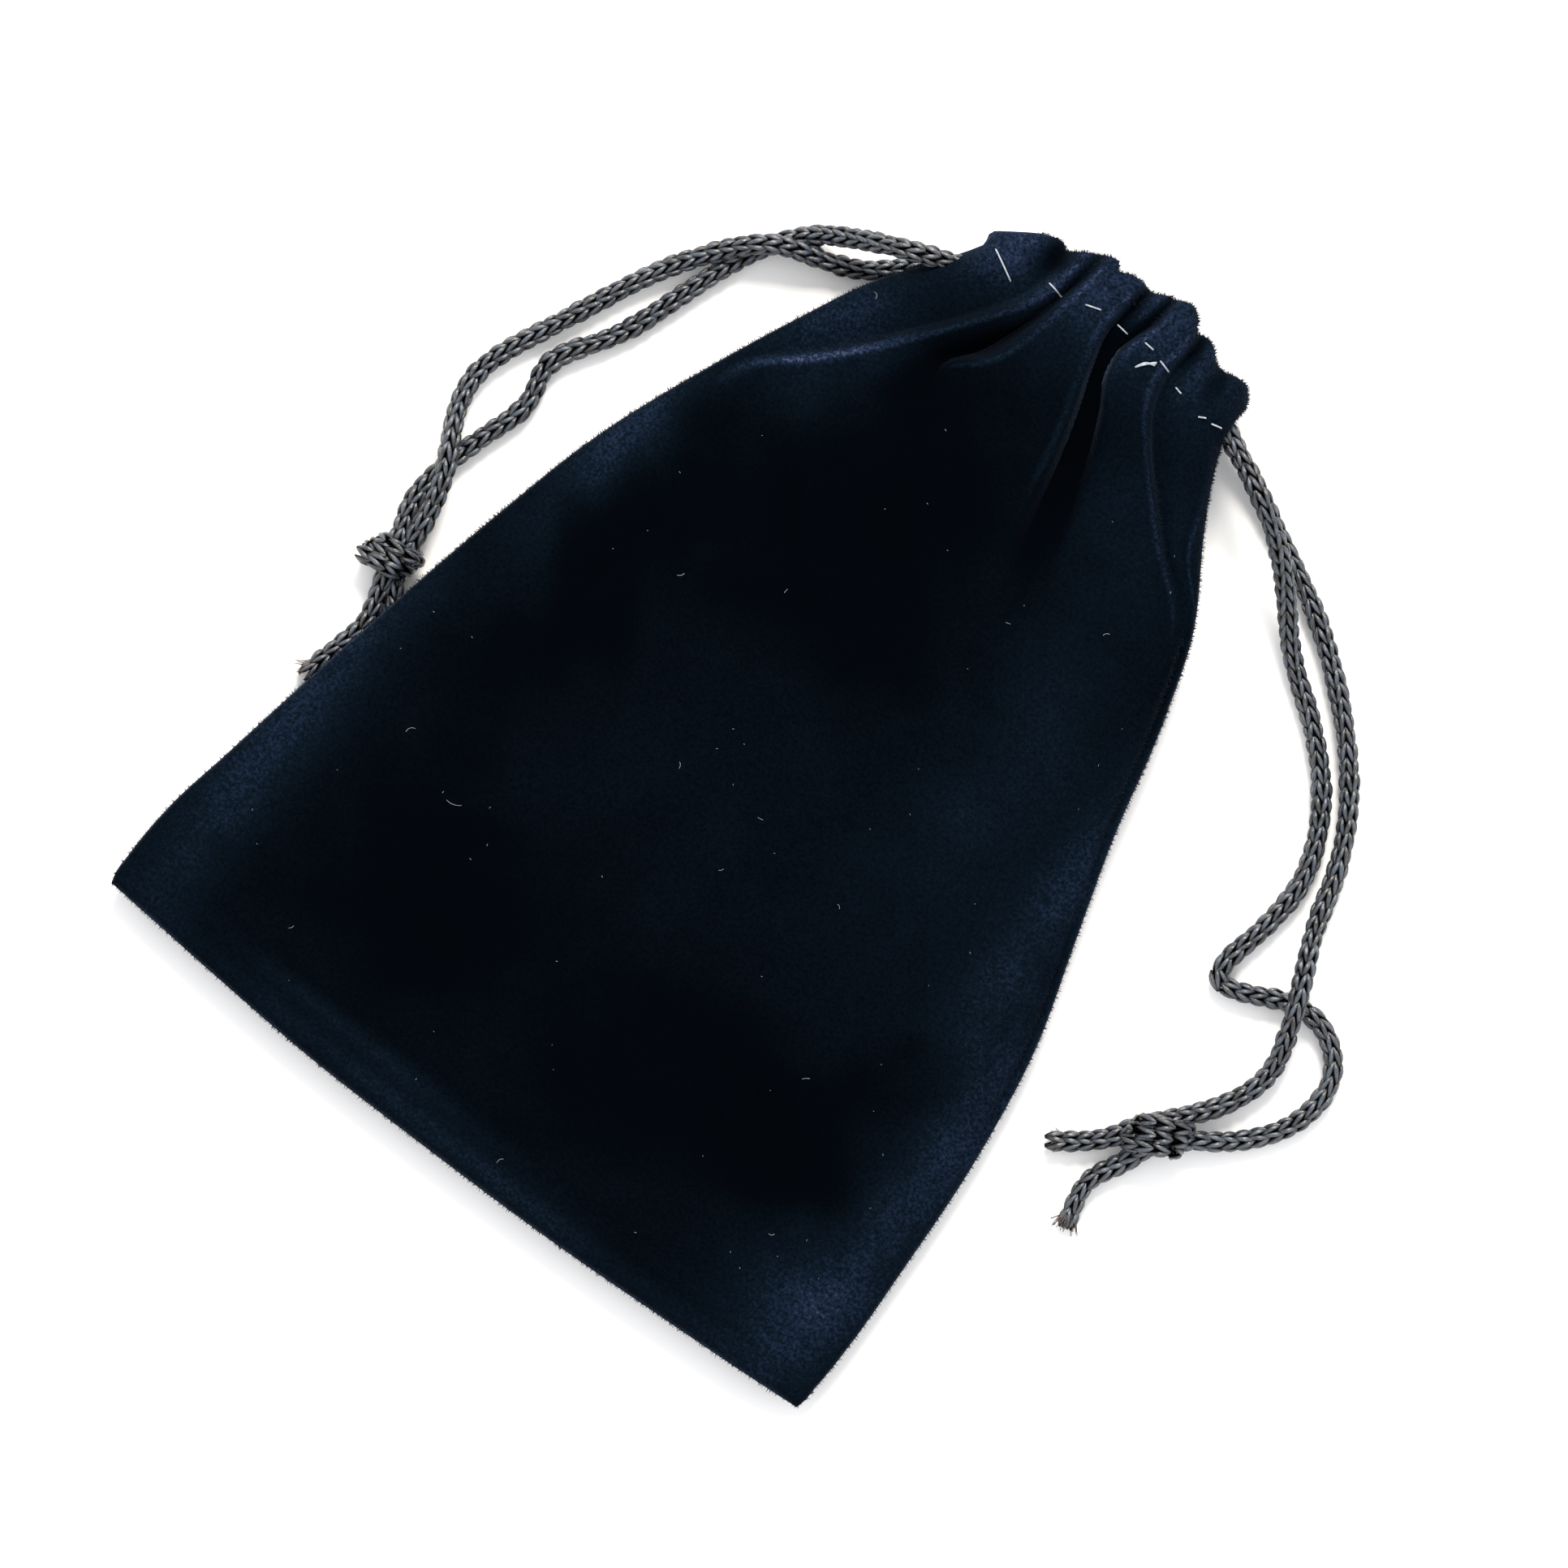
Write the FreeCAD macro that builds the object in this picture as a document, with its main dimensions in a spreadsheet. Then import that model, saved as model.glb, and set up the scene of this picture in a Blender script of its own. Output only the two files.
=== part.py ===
"""Drawstring pouch of black velvet, lying flat with its neck drawn in.

Two velvet panels are sewn along three sides. Each panel's top is folded over into a casing, and two
knitted drawstrings run through both casings, one pulled from the left and one from the right.

Frame: millimetres, +Z up, +Y towards the mouth, +X to the right seen from above. The origin is under
the middle of the bag, on the surface that it lies on.
"""
import FreeCAD, Part
import math
import os

import Sketcher

V = FreeCAD.Vector

# ---------------------------------------------------------------- driving dimensions
DIMENSIONS = [
    ("bag_length", 134.0, "bottom edge to mouth edge"),
    ("bag_width", 103.2, "widest place, near the bottom"),
    ("neck_width", 32.0, "panels where they meet the casings"),
    ("neck_shift", 3.3, "neck's middle, to the right of the bag's"),
    ("fabric", 1.0, "velvet with its backing"),
    ("seam_allowance", 4.3, "sewn edge turned inside"),
    ("seam_low", 3.6, "side seam's height at the bottom"),
    ("belly_rise", 6.6, "front panel's crown above the side seam"),
    ("flat_cut", 0.6, "how far the belly presses flat on the surface"),
    ("mouth_gap", 5.0, "between the two casings"),
    ("casing_length", 30.0, "one end of a casing to the other"),
    ("droop_angle", 25.0, "how far a casing's ends hang back, degrees"),
    ("straight_lead", 12.0, "straight end of the tunnel"),
    ("cord_diameter", 2.2, "knitted cord"),
    ("cord_gap", 0.3, "between the two cords in a tunnel"),
    ("cord_clearance", 0.15, "between a cord and the tunnel's front and back"),
    ("cord_headroom", 0.35, "over and under a cord in the tunnel"),
    ("swivel_reach", 5.5, "casing's end to the place where a cord swings"),
    ("thread_diameter", 0.5, "sewing thread"),
    ("stitch_inset", 0.6, "casing's stitching, below the tunnel"),
    ("seam_inset", 1.0, "seam thread, inside the edge"),
    ("left_knot_length", 7.2, "across the cords"),
    ("left_knot_diameter", 4.9, "along the cords"),
    ("right_knot_length", 7.6, "across the cords"),
    ("right_knot_diameter", 6.0, "along the cords"),
]

doc = FreeCAD.newDocument("drawstring_pouch")
sheet = doc.addObject("Spreadsheet::Sheet", "Dimensions")
for row, (alias, value, note) in enumerate(DIMENSIONS, start=1):
    sheet.set(f"A{row}", alias)
    sheet.set(f"B{row}", str(value))
    sheet.set(f"C{row}", note)
    sheet.setAlias(f"B{row}", alias)
working = doc.addObject("Spreadsheet::Sheet", "Working")
doc.recompute()


def size(alias):
    """A driving dimension's value, for the pieces whose shape is set in code."""
    return float(getattr(sheet, alias))


def cell(expression):
    """The same sizes as an expression: every $word becomes a reference to the sheet."""
    return expression.replace("$", "Dimensions.")


# ---------------------------------------------------------------- derived places
TUNNEL_DEPTH = "(2 * $cord_diameter + $cord_gap + 2 * $cord_clearance)"
TUNNEL_HEIGHT = "($cord_diameter + 2 * $cord_headroom)"
CASING_HEIGHT = f"({TUNNEL_HEIGHT} + 2 * $fabric)"
NECK_HEIGHT = f"(2 * {CASING_HEIGHT} + $mouth_gap)"
ARC_RADIUS = "(($casing_length / 2 - $straight_lead * cos($droop_angle)) / sin($droop_angle))"
TUNNEL_TOP = f"($bag_length / 2 - $fabric - {TUNNEL_DEPTH} / 2)"
ARC_CENTRE = f"({TUNNEL_TOP} - {ARC_RADIUS})"
WALL_SPARE = 0.15
JUNCTION = (
    f"({ARC_CENTRE} + {ARC_RADIUS} * cos($droop_angle) - $straight_lead * sin($droop_angle)"
    f" - {TUNNEL_DEPTH} / 2 / cos($droop_angle) - $fabric - {WALL_SPARE})"
)

droop = math.radians(size("droop_angle"))
tunnel_depth = 2 * size("cord_diameter") + size("cord_gap") + 2 * size("cord_clearance")
tunnel_height = size("cord_diameter") + 2 * size("cord_headroom")
casing_height = tunnel_height + 2 * size("fabric")
neck_height = 2 * casing_height + size("mouth_gap")
arc_radius = (size("casing_length") / 2 - size("straight_lead") * math.cos(droop)) / math.sin(droop)
arc_centre_y = size("bag_length") / 2 - size("fabric") - tunnel_depth / 2 - arc_radius
exit_y = arc_centre_y + arc_radius * math.cos(droop) - size("straight_lead") * math.sin(droop)
junction_y = exit_y - tunnel_depth / 2 / math.cos(droop) - size("fabric") - WALL_SPARE
front_tunnel_z = neck_height - casing_height / 2
back_tunnel_z = casing_height / 2
cord_radius = size("cord_diameter") / 2
lane = (size("cord_diameter") + size("cord_gap")) / 2

# The bag's outline and section, from the bottom edge to the casings. Each station gives:
#   along    share of the way from the bottom edge to the casings
#   reach    half width, as a share between the neck's (0) and the widest (1)
#   shift    share of the neck's sideways shift
#   seam     side seam's height, as a share between the bottom's (0) and the neck's middle (1)
#   front    front crown above the seam, in belly rises, and neck share
#   back     back crown below the seam: share of the way down to the flattened belly
#   edge     height of a panel's sewn edge, in fabric thicknesses
STATIONS = [
    # along, reach, shift, seam, front, neck, back, edge
    (0.000, 0.850, 0.00, 0.00, 0.22, 0.00, 0.30, 1.0),
    (0.017, 0.970, 0.00, 0.00, 0.30, 0.00, 0.45, 1.0),
    (0.046, 1.000, 0.00, 0.00, 0.42, 0.00, 0.65, 1.0),
    (0.180, 0.967, 0.25, 0.06, 0.84, 0.00, 1.00, 1.0),
    (0.315, 0.909, 0.45, 0.14, 0.98, 0.00, 1.00, 1.0),
    (0.450, 0.826, 0.50, 0.24, 1.00, 0.00, 1.00, 1.0),
    (0.580, 0.705, 0.25, 0.38, 0.97, 0.00, 1.00, 1.0),
    (0.710, 0.573, 0.30, 0.54, 0.92, 0.00, 1.00, 1.2),
    (0.830, 0.424, 0.50, 0.72, 0.86, 0.05, 1.00, 1.6),
    (0.925, 0.255, 0.40, 0.88, 0.45, 0.50, 1.00, 2.2),
    (0.970, 0.160, 0.45, 0.95, 0.20, 0.80, 0.95, 2.8),
    (1.000, 0.000, 1.00, 1.00, 0.00, 1.00, 0.90, 3.2),
]
HEM_STATIONS = STATIONS[:3]
SHELL_STATIONS = STATIONS[2:]


def station_expressions(station):
    """A station's place and sizes as expressions: y, left and right reach, seam height, crowns, edge."""
    along, reach, shift, seam, front, neck, back, edge = station
    half = f"($neck_width + {reach} * ($bag_width - $neck_width)) / 2"
    seam_height = f"($seam_low + {seam} * ({NECK_HEIGHT} / 2 - $seam_low))"
    last = along == 1.0
    return {
        "y": f"-$bag_length / 2 + {along} * ({JUNCTION} + $bag_length / 2)",
        "left": f"{half} - {shift} * $neck_shift",
        "right": f"{half} + {shift} * $neck_shift",
        "seam": seam_height,
        "front": f"({front} * $belly_rise + {neck} * {NECK_HEIGHT} / 2)",
        "back": seam_height if last else f"({back} * ({seam_height} + $flat_cut))",
        "edge": f"{edge} * $fabric",
        "wall": CASING_HEIGHT if last else f"(1 + {neck} * 1.5) * $fabric",
    }


def evaluate(expression):
    """An expression's value now, read through a cell of the working sheet."""
    working.set("A1", "=" + cell(expression))
    working.recompute()
    value = working.get("A1")
    return float(getattr(value, "Value", value))


# ---------------------------------------------------------------- sketch helpers
def origin_plane(body, role):
    """One of the body's own origin planes, by its role."""
    return next(item for item in body.Origin.OriginFeatures if item.Role == role)


def new_sketch(body, name, role, offset):
    """A sketch on one of the body's origin planes, moved along its normal by an expression."""
    sketch = body.newObject("Sketcher::SketchObject", name)
    sketch.AttachmentSupport = [(origin_plane(body, role), "")]
    sketch.MapMode = "FlatFace"
    sketch.setExpression(".AttachmentOffset.Base.z", cell(offset))
    return sketch


def bind(sketch, kind, *references, name, expression):
    """Adds a dimension to the sketch and binds it to the sheet."""
    index = sketch.addConstraint(Sketcher.Constraint(kind, *references, evaluate(expression)))
    sketch.renameConstraint(index, name)
    sketch.setExpression(f"Constraints.{name}", cell(expression))


def chain(sketch, edges):
    """Joins each edge's end to the next one's start."""
    for here, following in zip(edges, edges[1:] + edges[:1]):
        sketch.addConstraint(Sketcher.Constraint("Coincident", here, 2, following, 1))


def section(body, name, station, side, hollow):
    """One cross-section of a panel: an arched shell over the seam plane, or solid at the hem.

    side is 1 for the front panel, which arches up, and -1 for the back one, which arches down.
    """
    text = station_expressions(station)
    now = {key: evaluate(value) for key, value in text.items()}
    crown = now["front"] if side > 0 else now["back"]
    crown_text = text["front"] if side > 0 else text["back"]
    sketch = new_sketch(body, name, "XZ_Plane", f"-({text['y']})")
    base = now["seam"]
    edge_top = base + side * now["edge"]
    left, right = -now["left"], now["right"]
    middle = (left + right) / 2
    outer = Part.Arc(V(left, edge_top, 0), V(middle, base + side * crown, 0), V(right, edge_top, 0))
    sketch.addGeometry(outer, False)
    sketch.addGeometry(Part.LineSegment(V(left, base, 0), V(left, edge_top, 0)), False)
    sketch.addGeometry(Part.LineSegment(V(right, edge_top, 0), V(right, base, 0)), False)
    arc_left, arc_right = (1, 2) if sketch.getPoint(0, 1).x < middle else (2, 1)
    sketch.addConstraint(Sketcher.Constraint("Coincident", 1, 2, 0, arc_left))
    sketch.addConstraint(Sketcher.Constraint("Coincident", 0, arc_right, 2, 1))
    for upright in (1, 2):
        sketch.addConstraint(Sketcher.Constraint("Vertical", upright))
    bind(sketch, "DistanceX", 1, 1, -1, 1, name="left_reach", expression=text["left"])
    bind(sketch, "DistanceX", -1, 1, 2, 2, name="right_reach", expression=text["right"])
    bind(sketch, "DistanceY", -1, 1, 1, 1, name="seam_height", expression=text["seam"])
    bind(sketch, "DistanceY", -1, 1, 2, 2, name="seam_height_right", expression=text["seam"])
    edge_order = (1, 1, 1, 2) if side > 0 else (1, 2, 1, 1)
    bind(sketch, "DistanceY", *edge_order, name="edge_left", expression=text["edge"])
    edge_order = (2, 2, 2, 1) if side > 0 else (2, 1, 2, 2)
    bind(sketch, "DistanceY", *edge_order, name="edge_right", expression=text["edge"])
    half = f"(({text['left']}) + ({text['right']})) / 2"
    rise = f"({crown_text} - {text['edge']})"
    radius = f"(({half})^2 + {rise}^2) / (2 * {rise})"
    bind(sketch, "Radius", 0, name="outer_radius", expression=radius)
    if not hollow:
        sketch.addGeometry(Part.LineSegment(V(right, base, 0), V(left, base, 0)), False)
        sketch.addConstraint(Sketcher.Constraint("Coincident", 2, 2, 3, 1))
        sketch.addConstraint(Sketcher.Constraint("Coincident", 3, 2, 1, 1))
        return sketch
    tuck = size("seam_allowance") if station[0] < 0.9 else size("fabric") * 2
    tuck_text = "$seam_allowance" if station[0] < 0.9 else "$fabric * 2"
    roof_text = f"({crown_text} - {text['wall']})"
    if side < 0:
        roof_text = f"({crown_text} - {text['wall']} - {'0' if station[0] == 1.0 else '$flat_cut'})"
    roof = evaluate(roof_text)
    inner = Part.Arc(
        V(left + tuck, base, 0), V(middle, base + side * roof, 0), V(right - tuck, base, 0)
    )
    sketch.addGeometry(Part.LineSegment(V(right, base, 0), V(right - tuck, base, 0)), False)
    sketch.addGeometry(inner, False)
    sketch.addGeometry(Part.LineSegment(V(left + tuck, base, 0), V(left, base, 0)), False)
    arc_left, arc_right = (1, 2) if sketch.getPoint(4, 1).x < middle else (2, 1)
    sketch.addConstraint(Sketcher.Constraint("Coincident", 2, 2, 3, 1))
    sketch.addConstraint(Sketcher.Constraint("Coincident", 3, 2, 4, arc_right))
    sketch.addConstraint(Sketcher.Constraint("Coincident", 4, arc_left, 5, 1))
    sketch.addConstraint(Sketcher.Constraint("Coincident", 5, 2, 1, 1))
    for ledge in (3, 5):
        sketch.addConstraint(Sketcher.Constraint("Horizontal", ledge))
    bind(sketch, "DistanceX", 3, 2, 3, 1, name="tuck_right", expression=tuck_text)
    bind(sketch, "DistanceX", 5, 2, 5, 1, name="tuck_left", expression=tuck_text)
    inner_half = f"({half} - {tuck_text})"
    inner_radius = f"({inner_half}^2 + {roof_text}^2) / (2 * {roof_text})"
    bind(sketch, "Radius", 4, name="inner_radius", expression=inner_radius)
    return sketch


def loft(body, name, sketches):
    """A straight-sided loft through the sketches."""
    feature = body.newObject("PartDesign::AdditiveLoft", name)
    feature.Profile = sketches[0]
    feature.Sections = sketches[1:]
    feature.Ruled = True
    return feature


def panel(name, side):
    """One velvet panel: a solid sewn hem at the bottom and an arched shell up to the casing."""
    body = doc.addObject("PartDesign::Body", name)
    body.Label = name
    hem = [section(body, f"{name}_hem_{i}", s, side, False) for i, s in enumerate(HEM_STATIONS)]
    loft(body, f"{name}_hem", hem)
    shell = [section(body, f"{name}_shell_{i}", s, side, True) for i, s in enumerate(SHELL_STATIONS)]
    loft(body, f"{name}_shell", shell)
    doc.recompute()
    return body


def flatten_belly(body):
    """Cuts away what the arched back panel has below the surface that the bag lies on."""
    before = body.Shape.Volume
    sketch = new_sketch(body, "resting_plane", "XY_Plane", "0 * $fabric")
    corners = [V(-1, -1, 0), V(1, -1, 0), V(1, 1, 0), V(-1, 1, 0)]
    for start, end in zip(corners, corners[1:] + corners[:1]):
        sketch.addGeometry(Part.LineSegment(start * 60, end * 60), False)
    chain(sketch, [0, 1, 2, 3])
    for edge in (0, 2):
        sketch.addConstraint(Sketcher.Constraint("Horizontal", edge))
    for edge in (1, 3):
        sketch.addConstraint(Sketcher.Constraint("Vertical", edge))
    bind(sketch, "DistanceX", 0, 1, -1, 1, name="left_reach", expression="$bag_width")
    bind(sketch, "DistanceX", -1, 1, 0, 2, name="right_reach", expression="$bag_width")
    bind(sketch, "DistanceY", 0, 1, -1, 1, name="low_reach", expression="$bag_length")
    bind(sketch, "DistanceY", -1, 1, 2, 1, name="high_reach", expression="$bag_length")
    cut = body.newObject("PartDesign::Pocket", "belly_flat")
    cut.Profile = sketch
    cut.Type = "ThroughAll"
    cut.Reversed = False
    doc.recompute()
    removed = before - body.Shape.Volume
    if not 0 < removed < before / 4:
        raise RuntimeError("the belly's flat cut took away the wrong side")


# ---------------------------------------------------------------- casings
def droop_line(sketch, arc, arc_end, radius, side):
    """A straight stretch that leaves the middle arc smoothly towards one end of the casing."""
    touch = V(
        size("neck_shift") + side * radius * math.sin(droop),
        arc_centre_y + radius * math.cos(droop), 0,
    )
    far = touch + V(side * math.cos(droop), -math.sin(droop), 0) * size("straight_lead")
    sketch.addGeometry(Part.LineSegment(touch, far), False)
    line = sketch.GeometryCount - 1
    sketch.addConstraint(Sketcher.Constraint("Tangent", line, 1, arc, arc_end))
    return line


def bent_edge(sketch, offset_text, prefix):
    """Line, arc, line: a copy of the tunnel's centre line, moved outwards by an expression."""
    radius_text = f"({ARC_RADIUS} + {offset_text})"
    radius = evaluate(radius_text)
    centre = V(size("neck_shift"), arc_centre_y, 0)
    circle = Part.Circle(centre, V(0, 0, 1), radius)
    sketch.addGeometry(Part.ArcOfCircle(circle, math.pi / 2 - droop, math.pi / 2 + droop), False)
    arc = sketch.GeometryCount - 1
    right = droop_line(sketch, arc, 1, radius, 1)
    left = droop_line(sketch, arc, 2, radius, -1)
    bind(sketch, "DistanceX", -1, 1, arc, 3, name=f"{prefix}_middle", expression="$neck_shift")
    bind(sketch, "DistanceY", -1, 1, arc, 3, name=f"{prefix}_centre", expression=ARC_CENTRE)
    bind(sketch, "Radius", arc, name=f"{prefix}_radius", expression=radius_text)
    heading = {
        "right": (right, -droop, "-1deg * $droop_angle"),
        "left": (left, math.pi + droop, "180deg + 1deg * $droop_angle"),
    }
    for label, (line, angle, text) in heading.items():
        index = sketch.addConstraint(Sketcher.Constraint("Angle", line, angle))
        sketch.renameConstraint(index, f"{prefix}_{label}_droop")
        sketch.setExpression(f"Constraints.{prefix}_{label}_droop", cell(text))
    return left, right


def upright(sketch, lower, upper, x_text, label, side):
    """A straight end at a stated distance from the middle, between two points given as (edge, end)."""
    start = sketch.getPoint(*lower)
    end = sketch.getPoint(*upper)
    sketch.addGeometry(Part.LineSegment(start, end), False)
    line = sketch.GeometryCount - 1
    sketch.addConstraint(Sketcher.Constraint("Coincident", line, 1, *lower))
    sketch.addConstraint(Sketcher.Constraint("Coincident", line, 2, *upper))
    sketch.addConstraint(Sketcher.Constraint("Vertical", line))
    order = (-1, 1, line, 1) if side > 0 else (line, 1, -1, 1)
    bind(sketch, "DistanceX", *order, name=label, expression=x_text)


def casing(name, level_text):
    """One casing: the panel's top folded over, with the tunnel that both cords run through."""
    body = doc.addObject("PartDesign::Body", name)
    body.Label = name
    outline = new_sketch(body, f"{name}_outline", "XY_Plane", level_text)
    left, right = bent_edge(outline, f"({TUNNEL_DEPTH} / 2 + $fabric)", "rim")
    low = junction_y
    half = size("casing_length") / 2
    outline.addGeometry(
        Part.LineSegment(V(size("neck_shift") - half, low, 0), V(size("neck_shift") + half, low, 0)),
        False,
    )
    base = outline.GeometryCount - 1
    outline.addConstraint(Sketcher.Constraint("Horizontal", base))
    bind(outline, "DistanceY", -1, 1, base, 1, name="junction", expression=JUNCTION)
    reach_right = "($casing_length / 2 + $neck_shift)"
    reach_left = "($casing_length / 2 - $neck_shift)"
    upright(outline, (base, 1), (left, 2), reach_left, "left_end", -1)
    upright(outline, (base, 2), (right, 2), reach_right, "right_end", 1)
    block = body.newObject("PartDesign::Pad", f"{name}_block")
    block.Profile = outline
    block.SideType = "Symmetric"
    block.setExpression("Length", cell(CASING_HEIGHT))
    doc.recompute()
    before = body.Shape.Volume

    tunnel = new_sketch(body, f"{name}_tunnel", "XY_Plane", level_text)
    top_left, top_right = bent_edge(tunnel, f"{TUNNEL_DEPTH} / 2", "top")
    low_left, low_right = bent_edge(tunnel, f"-1 * {TUNNEL_DEPTH} / 2", "low")
    past = "3 * $fabric"
    upright(tunnel, (low_left, 2), (top_left, 2), f"{reach_left} + {past}", "left_mouth", -1)
    upright(tunnel, (low_right, 2), (top_right, 2), f"{reach_right} + {past}", "right_mouth", 1)
    bore = body.newObject("PartDesign::Pocket", f"{name}_bore")
    bore.Profile = tunnel
    bore.SideType = "Symmetric"
    bore.setExpression("Length", cell(TUNNEL_HEIGHT))
    doc.recompute()
    length = 2 * (size("straight_lead") + arc_radius * droop)
    expected = tunnel_depth * tunnel_height * length
    removed = before - body.Shape.Volume
    if abs(removed - expected) > 0.05 * expected:
        raise RuntimeError(f"{name}: the tunnel took {removed:.1f}, not {expected:.1f}")
    return body


# ---------------------------------------------------------------- tubes along a route
def tube(name, points, diameter, ease=0.45):
    """A round tube along straight runs joined by tangent arcs, as large as the runs allow."""
    points = [V(*p) for p in points]
    edges = []
    radii = []
    here = points[0]
    for before, corner, after in zip(points, points[1:], points[2:]):
        back = (before - corner).normalize()
        onward = (after - corner).normalize()
        turn = math.pi - back.getAngle(onward)
        room = ease * min((before - corner).Length, (after - corner).Length)
        radius = room / math.tan(turn / 2)
        radii.append(radius)
        start = corner + back * room
        end = corner + onward * room
        middle = (back + onward).normalize()
        centre = corner + middle * (radius / math.cos(turn / 2))
        top = centre - middle * radius
        edges.append(Part.LineSegment(here, start).toShape())
        edges.append(Part.Arc(start, top, end).toShape())
        here = end
    edges.append(Part.LineSegment(here, points[-1]).toShape())
    path = Part.Wire(edges)
    heading = points[1] - points[0]
    ring = Part.Wire(Part.Circle(points[0], heading, diameter / 2).toShape())
    shape = path.makePipeShell([ring], True, False, 0)
    expected = math.pi * diameter ** 2 / 4 * path.Length
    if not shape.isValid() or abs(shape.Volume - expected) > 0.01 * expected:
        raise RuntimeError(f"{name}: volume {shape.Volume:.2f}, expected {expected:.2f}")
    tight = f", tightest bend {min(radii):.1f}" if radii else ""
    print(f"{name}: length {path.Length:.1f}{tight}")
    feature = doc.addObject("Part::Feature", name)
    feature.Label = name
    feature.Shape = shape
    feature.Placement = FreeCAD.Placement()
    return feature


def lane_point(side, lane_offset, along, level):
    """A point on a cord's lane at one end of a casing.

    along is measured outwards from the casing's end, lane_offset outwards from the tunnel's middle.
    """
    out = V(side * math.cos(droop), -math.sin(droop), 0)
    across = V(side * math.sin(droop), math.cos(droop), 0)
    end = V(size("neck_shift") + side * size("casing_length") / 2, exit_y, level)
    return end + out * along + across * lane_offset


LEAD_STOP = 0.3
BIGHT_OUT = 0.2
BIGHT_BEND = size("cord_diameter")


def inner_run(name, home, lane_offset, level):
    """The stretch of one cord that stays in a tunnel, from its own lead to the far end."""
    radius = arc_radius + lane_offset
    centre = V(size("neck_shift"), arc_centre_y, level)
    arc_start = centre + V(home * math.sin(droop), math.cos(droop), 0) * radius
    arc_end = centre + V(-home * math.sin(droop), math.cos(droop), 0) * radius
    far = lane_point(-home, lane_offset, BIGHT_OUT, level)
    edges = [
        Part.Arc(arc_start, centre + V(0, radius, 0), arc_end).toShape(),
        Part.LineSegment(arc_end, far).toShape(),
    ]
    path = Part.Wire(edges)
    inwards = V(-home * math.cos(droop), math.sin(droop), 0)
    ring = Part.Wire(Part.Circle(arc_start, inwards, cord_radius).toShape())
    feature = doc.addObject("Part::Feature", name)
    feature.Label = name
    feature.Shape = path.makePipeShell([ring], True, False, 0)
    feature.Placement = FreeCAD.Placement()
    return feature


def bight(name, home, lane_offset):
    """The turn at the far side slit, where a cord passes from one casing into the other."""
    side = -home
    out = V(side * math.cos(droop), -math.sin(droop), 0)
    down = V(0, 0, -1)
    top = lane_point(side, lane_offset, BIGHT_OUT, front_tunnel_z)
    low = lane_point(side, lane_offset, BIGHT_OUT, back_tunnel_z)
    slope = math.sqrt(0.5)
    upper_centre = top + down * BIGHT_BEND
    lower_centre = low - down * BIGHT_BEND
    upper_end = upper_centre + out * BIGHT_BEND
    lower_end = lower_centre + out * BIGHT_BEND
    edges = [
        Part.Arc(top, upper_centre + (out - down) * slope * BIGHT_BEND, upper_end).toShape(),
        Part.LineSegment(upper_end, lower_end).toShape(),
        Part.Arc(lower_end, lower_centre + (out + down) * slope * BIGHT_BEND, low).toShape(),
    ]
    path = Part.Wire(edges)
    ring = Part.Wire(Part.Circle(top, out, cord_radius).toShape())
    feature = doc.addObject("Part::Feature", name)
    feature.Label = name
    feature.Shape = path.makePipeShell([ring], True, False, 0)
    feature.Placement = FreeCAD.Placement()
    return feature


def lead(name, home, lane_offset, level):
    """The straight stretch of cord that slides in the tunnel's end when the drawstring is pulled."""
    body = doc.addObject("Part::Cylinder", name)
    body.Label = name
    body.setExpression("Radius", cell("$cord_diameter / 2"))
    body.setExpression("Height", cell(f"$straight_lead + $swivel_reach - {LEAD_STOP}"))
    start = lane_point(home, lane_offset, LEAD_STOP - size("straight_lead"), level)
    out = V(home * math.cos(droop), -math.sin(droop), 0)
    body.Placement = FreeCAD.Placement(start, FreeCAD.Rotation(V(0, 0, 1), out))
    return body


# ---------------------------------------------------------------- free cords
# Each route is chosen by hand: X and Y from the place where its drawstring swings, and the height of
# the cord's middle above the surface.
FLOOR = cord_radius
SWIVEL_GAP = cord_radius + 0.3
LEFT_FRONT = [
    (-5.2, -2.1, 11.0), (-11.2, -4.6, 6.2), (-16.4, -7.6, 1.8), (-20.8, -13.4, FLOOR),
    (-24.0, -22.4, FLOOR), (-26.8, -31.0, FLOOR), (-33.0, -38.4, FLOOR), (-30.8, -44.4, FLOOR),
    (-33.6, -51.0, FLOOR), (-34.4, -56.6, FLOOR), (-37.2, -62.2, 1.4), (-34.4, -67.2, 2.2),
]
LEFT_BACK = [
    (-3.6, -2.4, 1.8), (-8.0, -7.0, 1.4), (-12.8, -9.2, 3.0), (-17.0, -10.2, 6.3),
    (-21.0, -12.6, 6.3), (-24.8, -17.2, 3.0), (-28.4, -22.6, FLOOR), (-32.8, -32.4, FLOOR),
    (-38.0, -43.6, FLOOR), (-37.8, -49.4, 3.2), (-36.0, -53.6, 6.3), (-33.8, -57.4, 6.3),
    (-32.4, -62.0, 4.4), (-31.8, -66.4, 2.6),
]
RIGHT_FRONT = [
    (4.6, -2.3, 11.2), (9.6, -5.3, 8.6), (14.2, -9.5, 5.2), (19.4, -15.1, 1.8),
    (26.4, -19.7, FLOOR), (32.8, -25.9, FLOOR), (36.8, -34.3, FLOOR), (36.2, -42.3, FLOOR),
    (34.4, -47.7, FLOOR), (37.0, -51.3, FLOOR), (41.6, -48.7, FLOOR), (47.8, -46.7, FLOOR),
    (53.6, -50.7, FLOOR), (53.2, -57.9, FLOOR), (48.8, -64.3, 1.4), (43.5, -68.1, 2.6),
]
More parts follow.
